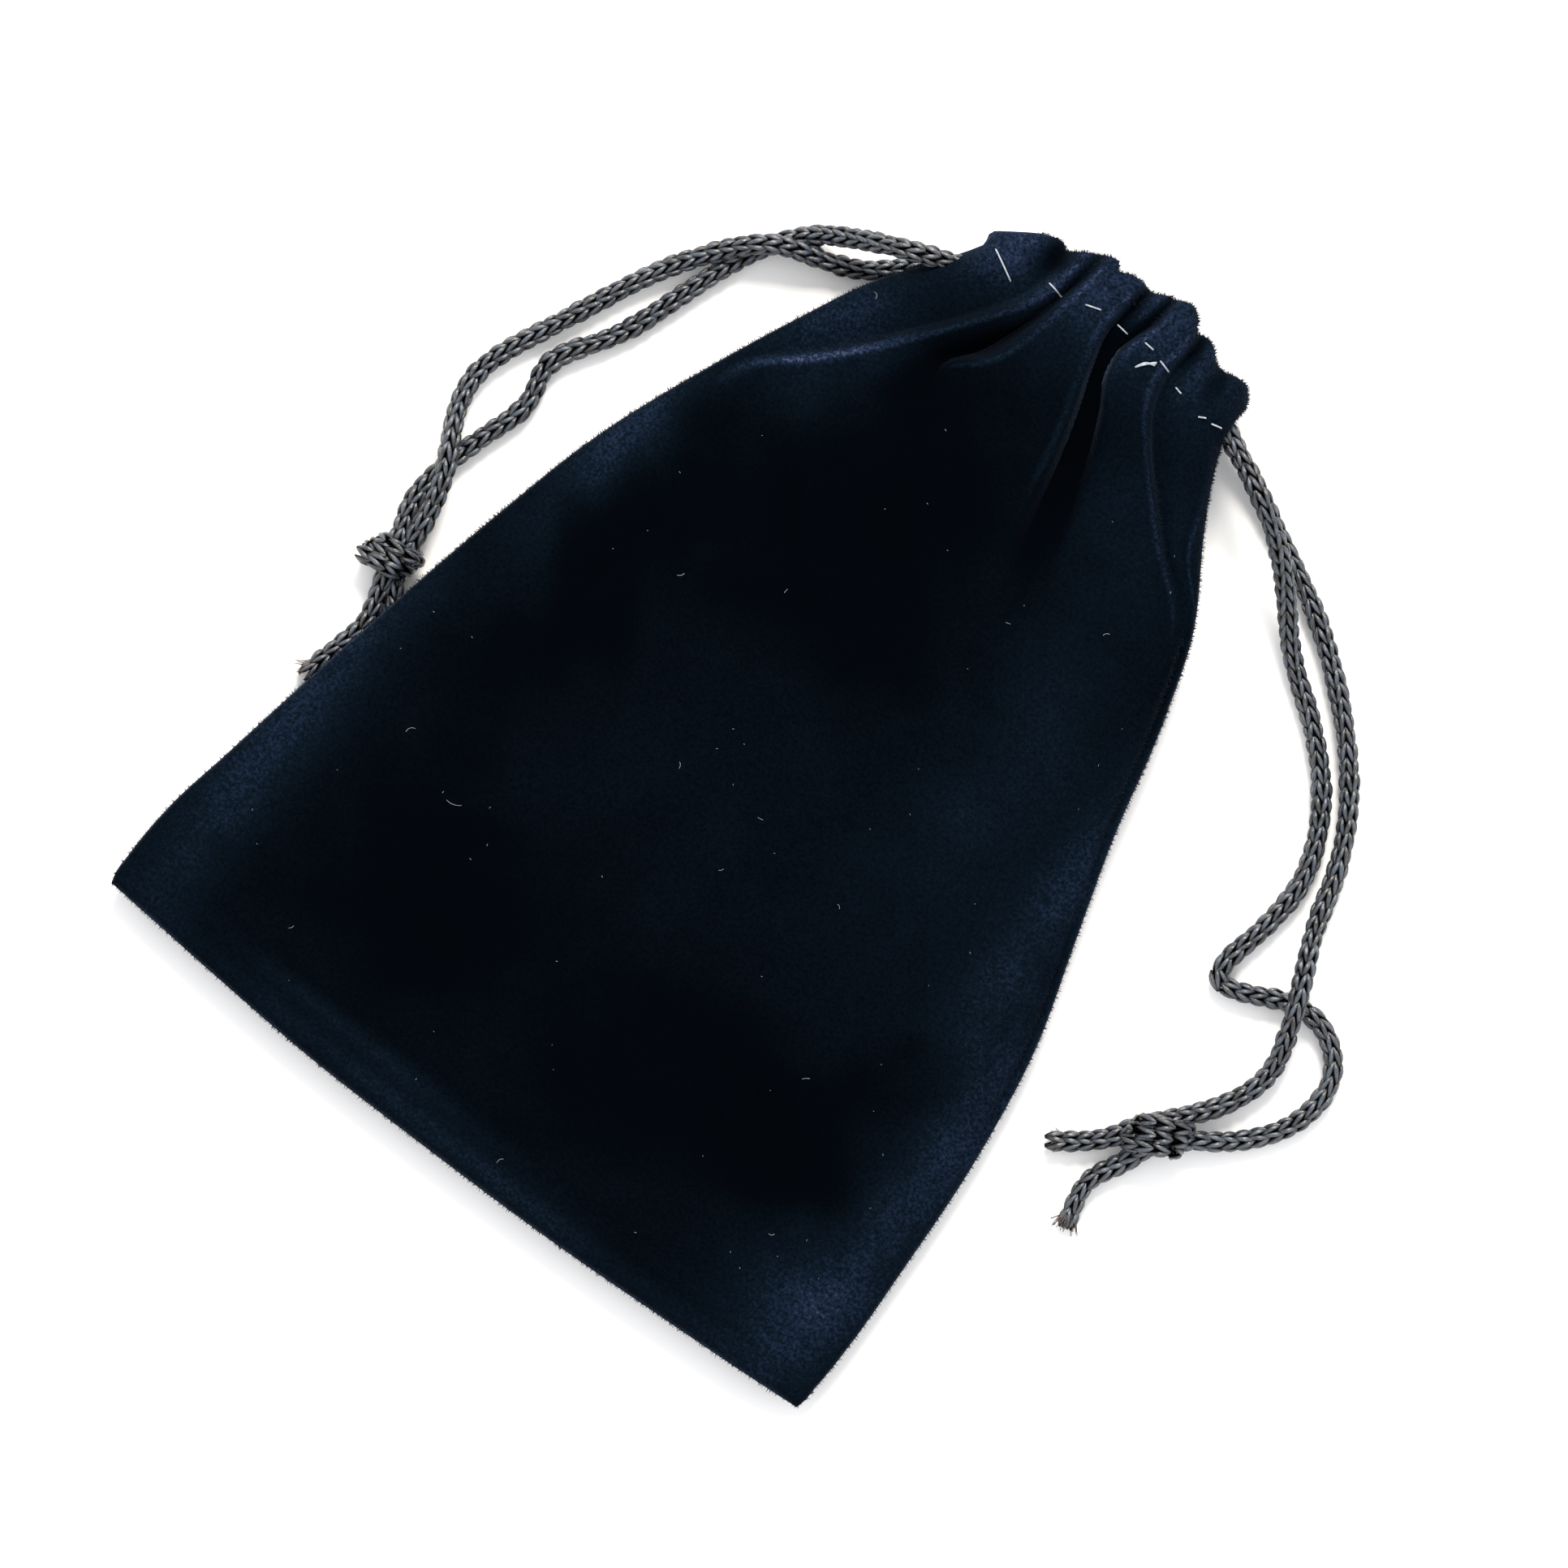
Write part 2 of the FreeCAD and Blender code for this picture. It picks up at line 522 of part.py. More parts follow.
RIGHT_BACK = [
    (3.8, -1.5, 1.9), (10.0, -4.7, FLOOR), (18.2, -8.7, FLOOR), (26.2, -14.5, FLOOR),
    (34.0, -22.1, FLOOR), (38.8, -30.3, FLOOR), (41.0, -38.7, 2.4), (43.4, -43.7, 6.3),
    (45.8, -49.3, 6.3), (47.8, -55.5, 2.4), (45.6, -61.7, 1.4), (41.6, -66.5, 2.6),
]
LEFT_LONG_TAIL = [
    (-33.0, -70.0, 2.2), (-32.6, -73.4, FLOOR), (-31.0, -77.2, FLOOR), (-32.2, -81.2, FLOOR),
    (-31.4, -84.8, FLOOR),
]
LEFT_SHORT_TAIL = [
    (-30.6, -69.2, 2.2), (-29.7, -71.6, FLOOR), (-27.7, -73.2, FLOOR), (-25.2, -73.4, FLOOR),
]
RIGHT_SHORT_TAIL = [
    (38.7, -69.8, 2.4), (37.2, -72.8, FLOOR), (34.8, -75.3, FLOOR), (32.2, -77.2, FLOOR),
]
RIGHT_LONG_TAIL = [
    (41.0, -71.5, 2.4), (40.0, -74.6, FLOOR), (38.1, -77.9, FLOOR), (38.1, -80.7, FLOOR),
    (39.0, -83.5, FLOOR),
]


def laid(home, lane_offset, route):
    """A route's points in the bag's frame."""
    swivel = lane_point(home, lane_offset, size("swivel_reach"), 0)
    return [(swivel.x + x, swivel.y + y, z) for x, y, z in route]


def strand(name, home, lane_offset, level, route):
    """A free strand: it starts just past its lead, on the line of the lead, and ends in the knot."""
    start = lane_point(home, lane_offset, size("swivel_reach") + SWIVEL_GAP, level)
    return tube(name, [tuple(start)] + laid(home, lane_offset, route), size("cord_diameter"))


def knot(name, prefix, centre, heading):
    """A drawstring's overhand knot in both strands, as a barrel lying across the cords."""
    body = doc.addObject("PartDesign::Body", name)
    body.Label = name
    sketch = new_sketch(body, f"{name}_profile", "XY_Plane", "0 * $fabric")
    half = size(f"{prefix}_knot_length") / 2
    middle = size(f"{prefix}_knot_diameter") / 2
    end_share = 0.55
    low = middle * end_share
    sketch.addGeometry(Part.LineSegment(V(-half, 0, 0), V(-half, low, 0)), False)
    sketch.addGeometry(Part.Arc(V(-half, low, 0), V(0, middle, 0), V(half, low, 0)), False)
    sketch.addGeometry(Part.LineSegment(V(half, low, 0), V(half, 0, 0)), False)
    sketch.addGeometry(Part.LineSegment(V(half, 0, 0), V(-half, 0, 0)), False)
    arc_left, arc_right = (1, 2) if sketch.getPoint(1, 1).x < 0 else (2, 1)
    sketch.addConstraint(Sketcher.Constraint("Coincident", 0, 2, 1, arc_left))
    sketch.addConstraint(Sketcher.Constraint("Coincident", 1, arc_right, 2, 1))
    sketch.addConstraint(Sketcher.Constraint("Coincident", 2, 2, 3, 1))
    sketch.addConstraint(Sketcher.Constraint("Coincident", 3, 2, 0, 1))
    for end in (0, 2):
        sketch.addConstraint(Sketcher.Constraint("Vertical", end))
    sketch.addConstraint(Sketcher.Constraint("PointOnObject", 0, 1, -1))
    sketch.addConstraint(Sketcher.Constraint("PointOnObject", 2, 2, -1))
    length = f"${prefix}_knot_length"
    diameter = f"${prefix}_knot_diameter"
    rise = f"({diameter} / 2 * {1 - end_share})"
    bind(sketch, "DistanceX", 0, 1, -1, 1, name="left_half", expression=f"{length} / 2")
    bind(sketch, "DistanceX", -1, 1, 2, 2, name="right_half", expression=f"{length} / 2")
    bind(sketch, "DistanceY", 0, 1, 0, 2, name="end_left", expression=f"{diameter} / 2 * {end_share}")
    bind(sketch, "DistanceY", 2, 2, 2, 1, name="end_right", expression=f"{diameter} / 2 * {end_share}")
    bulge = f"(({length} / 2)^2 + {rise}^2) / (2 * {rise})"
    bind(sketch, "Radius", 1, name="bulge", expression=bulge)
    turned = body.newObject("PartDesign::Revolution", f"{name}_barrel")
    turned.Profile = sketch
    turned.ReferenceAxis = (sketch, ["H_Axis"])
    turned.Angle = 360
    doc.recompute()
    body.Placement = FreeCAD.Placement(
        V(centre[0], centre[1], middle), FreeCAD.Rotation(V(1, 0, 0), heading)
    )
    return body


# ---------------------------------------------------------------- threads
def panel_edge(station, side, inset):
    """A point on the seam plane, inside a panel's edge."""
    text = station_expressions(station)
    reach = evaluate(text["right"] if side > 0 else text["left"])
    return (side * (reach - inset), evaluate(text["y"]), evaluate(text["seam"]))


def seam_thread(name, side):
    """The side seam's thread, along the sewn edge from the bottom corner to the side slit."""
    points = [panel_edge(s, side, size("seam_inset")) for s in STATIONS[2:-1]]
    return tube(name, points, size("thread_diameter"))


def bottom_thread(name):
    """The bottom seam's thread, along the sewn edge and round both corners."""
    inset = size("seam_inset")
    outer = [panel_edge(s, 1, inset) for s in HEM_STATIONS[1:]]
    low_y = -size("bag_length") / 2 + inset
    low = [(x, low_y, size("seam_low")) for x in (outer[0][0] - 3 * inset, -outer[0][0] + 3 * inset)]
    right = [(outer[0][0], outer[0][1] + inset, outer[0][2])]
    left = [(-outer[0][0], outer[0][1] + inset, outer[0][2])]
    return tube(name, right + low + left, size("thread_diameter"))


def casing_stitching(name, level):
    """The line of stitches under a tunnel, sunk half its thickness into the casing's outer face."""
    offset = -(tunnel_depth / 2 + size("stitch_inset"))
    radius = arc_radius + offset
    centre = V(size("neck_shift"), arc_centre_y, level)
    start = lane_point(-1, offset, -2 * size("fabric"), level)
    end = lane_point(1, offset, -2 * size("fabric"), level)
    first = centre + V(-math.sin(droop), math.cos(droop), 0) * radius
    last = centre + V(math.sin(droop), math.cos(droop), 0) * radius
    edges = [
        Part.LineSegment(start, first).toShape(),
        Part.Arc(first, centre + V(0, radius, 0), last).toShape(),
        Part.LineSegment(last, end).toShape(),
    ]
    path = Part.Wire(edges)
    ring = Part.Wire(Part.Circle(start, first - start, size("thread_diameter") / 2).toShape())
    feature = doc.addObject("Part::Feature", name)
    feature.Label = name
    feature.Shape = path.makePipeShell([ring], True, False, 0)
    feature.Placement = FreeCAD.Placement()
    return feature


# ---------------------------------------------------------------- the pouch, piece by piece
pieces = [panel("front_panel", 1), panel("back_panel", -1)]
flatten_belly(pieces[1])
pieces.append(casing("front_casing", f"{NECK_HEIGHT} - {CASING_HEIGHT} / 2"))
pieces.append(casing("back_casing", f"{CASING_HEIGHT} / 2"))
pieces.append(seam_thread("left_seam_thread", -1))
pieces.append(seam_thread("right_seam_thread", 1))
pieces.append(bottom_thread("bottom_seam_thread"))
thread_sink = size("thread_diameter") / 4
pieces.append(casing_stitching("front_casing_stitching", neck_height - thread_sink))
back_stitch_level = size("thread_diameter") / 2 + thread_sink
pieces.append(casing_stitching("back_casing_stitching", back_stitch_level))

# the left drawstring keeps to the lower lane of both tunnels, the right one to the upper lane
SIDES = [("left", -1, -lane), ("right", 1, lane)]
LEVELS = [("front", front_tunnel_z), ("back", back_tunnel_z)]
ROUTES = {
    "left_front": LEFT_FRONT,
    "left_back": LEFT_BACK,
    "right_front": RIGHT_FRONT,
    "right_back": RIGHT_BACK,
}
for side_name, home, lane_offset in SIDES:
    for level_name, level in LEVELS:
        cord = f"{side_name}_{level_name}"
        pieces.append(inner_run(f"{cord}_inner_run", home, lane_offset, level))
        pieces.append(lead(f"{cord}_lead", home, lane_offset, level))
        pieces.append(strand(f"{cord}_strand", home, lane_offset, level, ROUTES[cord]))
    pieces.append(bight(f"{side_name}_cord_bight", home, lane_offset))

KNOTS = {
    "left": ((-32.4, -68.4, 0), V(0.90, 0.43, 0)),
    "right": ((41.2, -68.9, 0), V(0.79, -0.61, 0)),
}
TAILS = {
    "left": {"left_long_tail": LEFT_LONG_TAIL, "left_short_tail": LEFT_SHORT_TAIL},
    "right": {"right_short_tail": RIGHT_SHORT_TAIL, "right_long_tail": RIGHT_LONG_TAIL},
}
for side_name, home, lane_offset in SIDES:
    place, heading = KNOTS[side_name]
    centre = laid(home, lane_offset, [place])[0]
    pieces.append(knot(f"{side_name}_knot", side_name, centre, heading))
    for name, route in TAILS[side_name].items():
        pieces.append(tube(name, laid(home, lane_offset, route), size("cord_diameter")))

# ---------------------------------------------------------------- checks and export
doc.recompute()
for item in doc.Objects:
    if "Invalid" in item.State or "Error" in item.State:
        raise RuntimeError(f"{item.Name}: {item.State}")
os.makedirs("parts", exist_ok=True)
for piece in pieces:
    shape = piece.Shape
    if shape.isNull() or not shape.isValid() or not shape.Solids:
        raise RuntimeError(f"{piece.Label}: not a valid solid")
    shape.exportStep(f"parts/{piece.Label}.step")
print(f"{len(pieces)} pieces written")
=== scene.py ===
import math

import bmesh
import bpy
import numpy as np
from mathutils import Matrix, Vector


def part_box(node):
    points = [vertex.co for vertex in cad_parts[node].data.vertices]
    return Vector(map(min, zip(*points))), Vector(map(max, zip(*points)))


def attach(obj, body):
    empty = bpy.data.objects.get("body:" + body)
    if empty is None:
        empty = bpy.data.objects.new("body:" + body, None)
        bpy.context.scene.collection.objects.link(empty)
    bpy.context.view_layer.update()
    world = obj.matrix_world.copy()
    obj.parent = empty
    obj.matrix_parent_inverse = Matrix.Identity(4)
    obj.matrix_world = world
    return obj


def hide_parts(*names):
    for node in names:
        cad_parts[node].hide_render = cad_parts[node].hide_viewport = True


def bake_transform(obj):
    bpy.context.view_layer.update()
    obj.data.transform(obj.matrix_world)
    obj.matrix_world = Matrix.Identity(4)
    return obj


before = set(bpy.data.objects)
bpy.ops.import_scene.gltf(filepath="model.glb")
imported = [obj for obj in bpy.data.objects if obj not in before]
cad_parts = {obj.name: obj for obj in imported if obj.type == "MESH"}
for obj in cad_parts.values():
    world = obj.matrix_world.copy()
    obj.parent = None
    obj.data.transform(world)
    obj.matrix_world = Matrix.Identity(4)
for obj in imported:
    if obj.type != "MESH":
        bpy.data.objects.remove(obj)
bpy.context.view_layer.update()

# ================================================================ surface, light and camera
# The pouch lies on a plain white board in broad, soft daylight, and is seen from straight above,
# turned so that its mouth points to the upper right.
MM = 0.001


def linear(hex_colour):
    """A linear RGBA colour from an sRGB hex value."""
    parts = [int(hex_colour[i:i + 2], 16) / 255 for i in (1, 3, 5)]
    return [c / 12.92 if c <= 0.04045 else ((c + 0.055) / 1.055) ** 2.4 for c in parts] + [1.0]


def add(tree, kind, settings=None, values=None, links=None):
    """One node, with its settings, its input values and the sockets that feed it."""
    node = tree.nodes.new(kind)
    for key, value in (settings or {}).items():
        setattr(node, key, value)
    for key, value in (values or {}).items():
        node.inputs[key].default_value = value
    for key, source in (links or {}).items():
        tree.links.new(source, node.inputs[key])
    return node


def new_material(name):
    """A new node material, its node tree and its shader."""
    material = bpy.data.materials.new(name)
    material.use_nodes = True
    tree = material.node_tree
    shader = tree.nodes["Principled BSDF"]
    return material, tree, shader


def mesh_object(name, mesh):
    """A new object for a mesh, in the scene."""
    piece = bpy.data.objects.new(name, mesh)
    bpy.context.scene.collection.objects.link(piece)
    return piece


BOARD_SIZE = 3.0
BOARD_COLOUR = "#f4f2ef"
board_material, _, board_shader = new_material("matt_white_board")
board_shader.inputs["Base Color"].default_value = linear(BOARD_COLOUR)
board_shader.inputs["Roughness"].default_value = 0.75
board_mesh = bpy.data.meshes.new("board")
half = BOARD_SIZE / 2
board_mesh.from_pydata(
    [(-half, -half, 0), (half, -half, 0), (half, half, 0), (-half, half, 0)], [], [(0, 1, 2, 3)]
)
board_mesh.materials.append(board_material)
board = mesh_object("board", board_mesh)

CAMERA_HEIGHT = 1.6
VIEW_WIDTH = 0.1858
VIEW_CENTRE = (0.0047, -0.0071)
VIEW_TURN = math.radians(37.7)
SENSOR = 36.0
camera_data = bpy.data.cameras.new("camera")
camera_data.sensor_width = SENSOR
camera_data.lens = SENSOR * CAMERA_HEIGHT / VIEW_WIDTH
camera_data.clip_start = 0.05
camera = bpy.data.objects.new("camera", camera_data)
camera.location = (*VIEW_CENTRE, CAMERA_HEIGHT)
camera.rotation_euler = (0, 0, VIEW_TURN)
bpy.context.scene.collection.objects.link(camera)
bpy.context.scene.camera = camera

SKY_STRENGTH = 1.35
world = bpy.data.worlds.new("soft_daylight")
world.use_nodes = True
world.node_tree.nodes["Background"].inputs["Color"].default_value = linear("#f6f8fc")
world.node_tree.nodes["Background"].inputs["Strength"].default_value = SKY_STRENGTH
bpy.context.scene.world = world
bpy.context.scene.view_settings.view_transform = "Standard"


def window_light(name, place, size, power, colour):
    """A large soft light that faces the pouch."""
    data = bpy.data.lights.new(name, "AREA")
    data.shape = "RECTANGLE"
    data.size, data.size_y = size
    data.energy = power
    data.color = linear(colour)[:3]
    light = bpy.data.objects.new(name, data)
    light.location = place
    light.rotation_euler = (-Vector(place)).to_track_quat("-Z", "Y").to_euler()
    bpy.context.scene.collection.objects.link(light)


window_light("window", (-0.35, 0.75, 0.80), (0.35, 0.35), 17.0, "#fffaf2")
window_light("bounce", (0.9, -0.5, 0.6), (0.8, 0.8), 2.0, "#f2f6ff")

# ================================================================ the two drawstrings
# Black nylon cord, 2.2 mm thick, knitted on a spool as a tube of chain stitches. Each drawstring is one
# cord: both free strands leave the casings on one side, are knotted together, and end in cut tails.
CORD = 2.2 * MM
CORD_RADIUS = CORD / 2
KNIT_RADIUS = 1.27 * MM
STITCH_PITCH = 1.75 * MM
WALES = 4
CORE_RADIUS = KNIT_RADIUS * 0.52
FLOOR = KNIT_RADIUS + 0.20 * MM
DROOP = math.radians(25)
SWIVEL_REACH = 5.5 * MM
LEAD_IN = 11.7 * MM
# The yarn's own near-black, and the paler tone of the painted highlight on the stitch crowns
NYLON = "#010102"
NYLON_HIGHLIGHT = "#515c6c"


def nylon_knit():
    """Glossy black nylon yarn. Each stitch is a bundle of fine filaments that shines along its length."""
    material, tree, shader = new_material("knitted_black_nylon")
    uv = add(tree, "ShaderNodeUVMap", {"uv_map": "UVMap"})
    lie = add(
        tree, "ShaderNodeMapping", values={"Scale": (2.0, 16.0, 1.0)}, links={"Vector": uv.outputs["UV"]}
    )
    strands = add(
        tree, "ShaderNodeTexNoise", values={"Scale": 3.0, "Detail": 3.0},
        links={"Vector": lie.outputs["Vector"]},
    )
    place = add(tree, "ShaderNodeTexCoord")
    patches = add(
        tree, "ShaderNodeTexNoise", values={"Scale": 900.0, "Detail": 2.0},
        links={"Vector": place.outputs["Object"]},
    )
    tone = add(tree, "ShaderNodeValToRGB", links={"Fac": strands.outputs["Fac"]})
    tone.color_ramp.elements[0].color = linear("#14171c")
    tone.color_ramp.elements[0].position = 0.35
    tone.color_ramp.elements[1].color = linear(NYLON_HIGHLIGHT)
    tone.color_ramp.elements[1].position = 0.75
    # Painted highlight: the colour turns paler along the crown of each stitch leg.
    crown = add(tree, "ShaderNodeAttribute", {"attribute_name": "stitch_crown"})
    uneven = add(
        tree, "ShaderNodeMapRange",
        values={"From Min": 0.36, "From Max": 0.62, "To Min": 0.16, "To Max": 0.8},
        links={"Value": patches.outputs["Fac"]},
    )
    # Painted shade: it stays near-black down each leg's sides and in the gaps between stitches.
    crown_highlight = add(
        tree, "ShaderNodeMath", {"operation": "MULTIPLY"},
        links={0: crown.outputs["Fac"], 1: uneven.outputs["Result"]},
    )
    lighter = add(
        tree, "ShaderNodeMapRange", values={"From Min": 0.12, "From Max": 0.62},
        links={"Value": crown_highlight.outputs[0]},
    )
    mixed = add(
        tree, "ShaderNodeMix", {"data_type": "RGBA"}, {"A": linear(NYLON)},
        {"Factor": lighter.outputs["Result"], "B": tone.outputs["Color"]},
    )
    gloss = add(
        tree, "ShaderNodeMapRange", values={"To Min": 0.16, "To Max": 0.38},
        links={"Value": patches.outputs["Fac"]},
    )
    relief = add(
        tree, "ShaderNodeBump", values={"Strength": 0.55, "Distance": 0.00008},
        links={"Height": strands.outputs["Fac"]},
    )
    shine = add(
        tree, "ShaderNodeMapRange", values={"From Max": 0.55, "To Min": 0.04, "To Max": 0.95},
        links={"Value": crown.outputs["Fac"]},
    )
    tree.links.new(mixed.outputs["Result"], shader.inputs["Base Color"])
    tree.links.new(gloss.outputs["Result"], shader.inputs["Roughness"])
    tree.links.new(relief.outputs["Normal"], shader.inputs["Normal"])
    tree.links.new(shine.outputs["Result"], shader.inputs["Specular IOR Level"])
    return material


nylon = nylon_knit()


def stitch_course():
    """One course of the knitted tube: a ring of V stitches, each of two leaf-shaped legs of yarn."""
    shape = bmesh.new()
    uv_layer = shape.loops.layers.uv.new("UVMap")
    crown = shape.verts.layers.float.new("stitch_crown")
    sides, rings = 7, 6
    wale_angle = 2 * math.pi / WALES
    for wale in range(WALES):
        for hand in (-1, 1):
            rows = []
            for ring in range(rings):
                t = ring / (rings - 1)
                angle = wale * wale_angle + hand * wale_angle * (0.04 + 0.45 * t)
                swell = math.sin(math.pi * (0.08 + 0.84 * t ** 0.8)) ** 0.8
                depth = KNIT_RADIUS * (0.46 + 0.27 * math.sin(math.pi * (0.12 + 0.70 * t)))
                along = STITCH_PITCH * (-0.70 + 1.42 * t)
                outwards = Vector((math.cos(angle), math.sin(angle), 0))
                slant = Vector((-math.sin(angle), math.cos(angle), -0.75 * hand)).normalized()
                middle = outwards * depth + Vector((0, 0, along))
                row = []
                for side in range(sides):
                    a = 2 * math.pi * side / sides
                    spread = slant * (KNIT_RADIUS * 0.285 * swell * math.cos(a))
                    lift = outwards * (KNIT_RADIUS * 0.30 * swell * math.sin(a))
                    vert = shape.verts.new(middle + spread + lift)
                    # The crown value marks a painted highlight along the top of each leg.
                    along_crown = math.sin(math.pi * min(1.0, 0.15 + 0.85 * t)) ** 0.7
                    vert[crown] = max(0.0, math.sin(a)) * along_crown
                    row.append(vert)
                rows.append(row)
            for ring, (low, high) in enumerate(zip(rows, rows[1:])):
                for side in range(sides):
                    after = (side + 1) % sides
                    face = shape.faces.new((low[side], low[after], high[after], high[side]))
                    face.smooth = True
                    corners = ((ring, side), (ring, side + 1), (ring + 1, side + 1), (ring + 1, side))
                    for loop, (u, v) in zip(face.loops, corners):
                        loop[uv_layer].uv = (u / (rings - 1), v / sides)
            shape.faces.new(list(reversed(rows[0])))
            shape.faces.new(rows[-1])
    bmesh.ops.recalc_face_normals(shape, faces=shape.faces)
    mesh = bpy.data.meshes.new("stitch_course")
    shape.to_mesh(mesh)
    shape.free()
    return bpy.data.objects.new("stitch_course", mesh)


course = stitch_course()


def new_tree(name, inputs):
    """A Geometry Nodes tree with named inputs, and the sockets that they come in by."""
    tree = bpy.data.node_groups.new(name, "GeometryNodeTree")
    sockets = {"Geometry": ("Geometry", None), **inputs, "Material": ("Material", None)}
    for label, (kind, value) in sockets.items():
        socket = tree.interface.new_socket(label, in_out="INPUT", socket_type=f"NodeSocket{kind}")
        if value is not None:
            socket.default_value = value
    tree.interface.new_socket("Geometry", in_out="OUTPUT", socket_type="NodeSocketGeometry")
    return tree, tree.nodes.new("NodeGroupInput").outputs


def end_tree(tree, geometry, material):
    """Ends a tree: all that it made becomes plain geometry in its material."""
    solid = add(tree, "GeometryNodeRealizeInstances", links={"Geometry": geometry})
    dyed = add(
        tree, "GeometryNodeSetMaterial",
        links={"Geometry": solid.outputs["Geometry"], "Material": material},
    )
    result = tree.nodes.new("NodeGroupOutput")
    tree.links.new(dyed.outputs["Geometry"], result.inputs["Geometry"])
    return tree


def knit_tree():
    """Geometry Nodes that lay courses of stitches along a path, round a plain core."""
    tree, given = new_tree("knitted_cord", {
        "Stitch Pitch": ("Float", STITCH_PITCH), "Core Radius": ("Float", CORE_RADIUS),
        "Twist": ("Float", 90.0), "Seed": ("Int", 3), "Course": ("Object", None),
    })
    path = add(tree, "GeometryNodeMeshToCurve", links={"Mesh": given["Geometry"]})
    spaced = add(
        tree, "GeometryNodeResampleCurve", {"mode": "LENGTH"},
        links={"Curve": path.outputs["Curve"], "Length": given["Stitch Pitch"]},
    )
    level = add(
        tree, "GeometryNodeSetCurveNormal", {"mode": "MINIMUM_TWIST"},
        links={"Curve": spaced.outputs["Curve"]},
    )
    along = add(tree, "GeometryNodeSplineParameter")
    turn = add(
        tree, "ShaderNodeMath", {"operation": "MULTIPLY"},
        links={0: along.outputs["Length"], 1: given["Twist"]},
    )
    twisted = add(
        tree, "GeometryNodeSetCurveTilt",
        links={"Curve": level.outputs["Curve"], "Tilt": turn.outputs[0]},
    )
    places = add(
        tree, "GeometryNodeCurveToPoints", {"mode": "EVALUATED"},
        links={"Curve": twisted.outputs["Curve"]},
    )
    stitch = add(tree, "GeometryNodeObjectInfo", links={"Object": given["Course"]})
    uneven = add(
        tree, "FunctionNodeRandomValue", {"data_type": "FLOAT_VECTOR"},
        {"Min": (0.93, 0.93, 0.92), "Max": (1.07, 1.07, 1.10)}, {"Seed": given["Seed"]},
    )
    courses = add(
        tree, "GeometryNodeInstanceOnPoints",
        links={
            "Points": places.outputs["Points"], "Instance": stitch.outputs["Geometry"],
            "Rotation": places.outputs["Rotation"], "Scale": uneven.outputs["Value"],
        },
    )
    ring = add(
        tree, "GeometryNodeCurvePrimitiveCircle", values={"Resolution": 8},
        links={"Radius": given["Core Radius"]},
    )
    core = add(
        tree, "GeometryNodeCurveToMesh", values={"Fill Caps": True},
        links={"Curve": twisted.outputs["Curve"], "Profile Curve": ring.outputs["Curve"]},
    )
    both = add(tree, "GeometryNodeJoinGeometry")
    tree.links.new(courses.outputs["Instances"], both.inputs["Geometry"])
    tree.links.new(core.outputs["Mesh"], both.inputs["Geometry"])
    return end_tree(tree, both.outputs["Geometry"], given["Material"])


knitting = knit_tree()


def give(modifier, **values):
    """Sets a node modifier's inputs, found by name, through their sockets' identifiers."""
    for item in modifier.node_group.interface.items_tree:
        name = item.name.replace(" ", "_")
        if item.in_out == "INPUT" and name in values:
            modifier[item.identifier] = values[name]


def baked(piece, name):
    """A plain mesh object of a piece as its modifiers leave it. The first object is removed."""
    graph = bpy.context.evaluated_depsgraph_get()
    graph.update()
    mesh = bpy.data.meshes.new_from_object(piece.evaluated_get(graph))
    mesh.name = name
    bpy.data.objects.remove(piece)
    return mesh_object(name, mesh)


def smooth_line(points):
    """Points along the NURBS curve of order 3 that has the given control points."""
    curve = bpy.data.curves.new("route", "CURVE")
    curve.dimensions = "3D"
    curve.resolution_u = 14
    spline = curve.splines.new("NURBS")
    spline.points.add(len(points) - 1)
    for control, place in zip(spline.points, points):
        control.co = (*place, 1.0)
    spline.order_u = 3
    spline.use_endpoint_u = True
    holder = mesh_object("route", curve)
    mesh = bpy.data.meshes.new_from_object(holder)
    line = [v.co.copy() for v in mesh.vertices]
    bpy.data.objects.remove(holder)
    bpy.data.curves.remove(curve)
    bpy.data.meshes.remove(mesh)
    return line


def knitted(name, line, seed, twist=90.0):
    """A knitted cord along a line of points, as one mesh."""
    mesh = bpy.data.meshes.new("path")
    mesh.from_pydata(line, [(i, i + 1) for i in range(len(line) - 1)], [])
    holder = mesh_object("path", mesh)
    modifier = holder.modifiers.new("knitting", "NODES")
    modifier.node_group = knitting
    give(modifier, Seed=seed, Twist=twist, Course=course, Material=nylon)
    return baked(holder, name)


# Where each drawstring leaves its casings. The lead's box gives the casing's height and its far end.
def swivel(side, level):
    """The place outside a casing's end where a free strand begins to swing, from the lead's own box."""
    low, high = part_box(f"{side}_{level}_lead")
    hand = -1 if side == "left" else 1
    tip_x = low[0] if side == "left" else high[0]
    end_x = tip_x - hand * CORD_RADIUS * math.sin(DROOP)
    end_y = low[1] + CORD_RADIUS * math.cos(DROOP)
    return Vector((end_x, end_y, (low[2] + high[2]) / 2))


def outward(side):
    """The direction in which a drawstring leaves its casings."""
    hand = -1 if side == "left" else 1
    return Vector((hand * math.cos(DROOP), -math.sin(DROOP), 0))


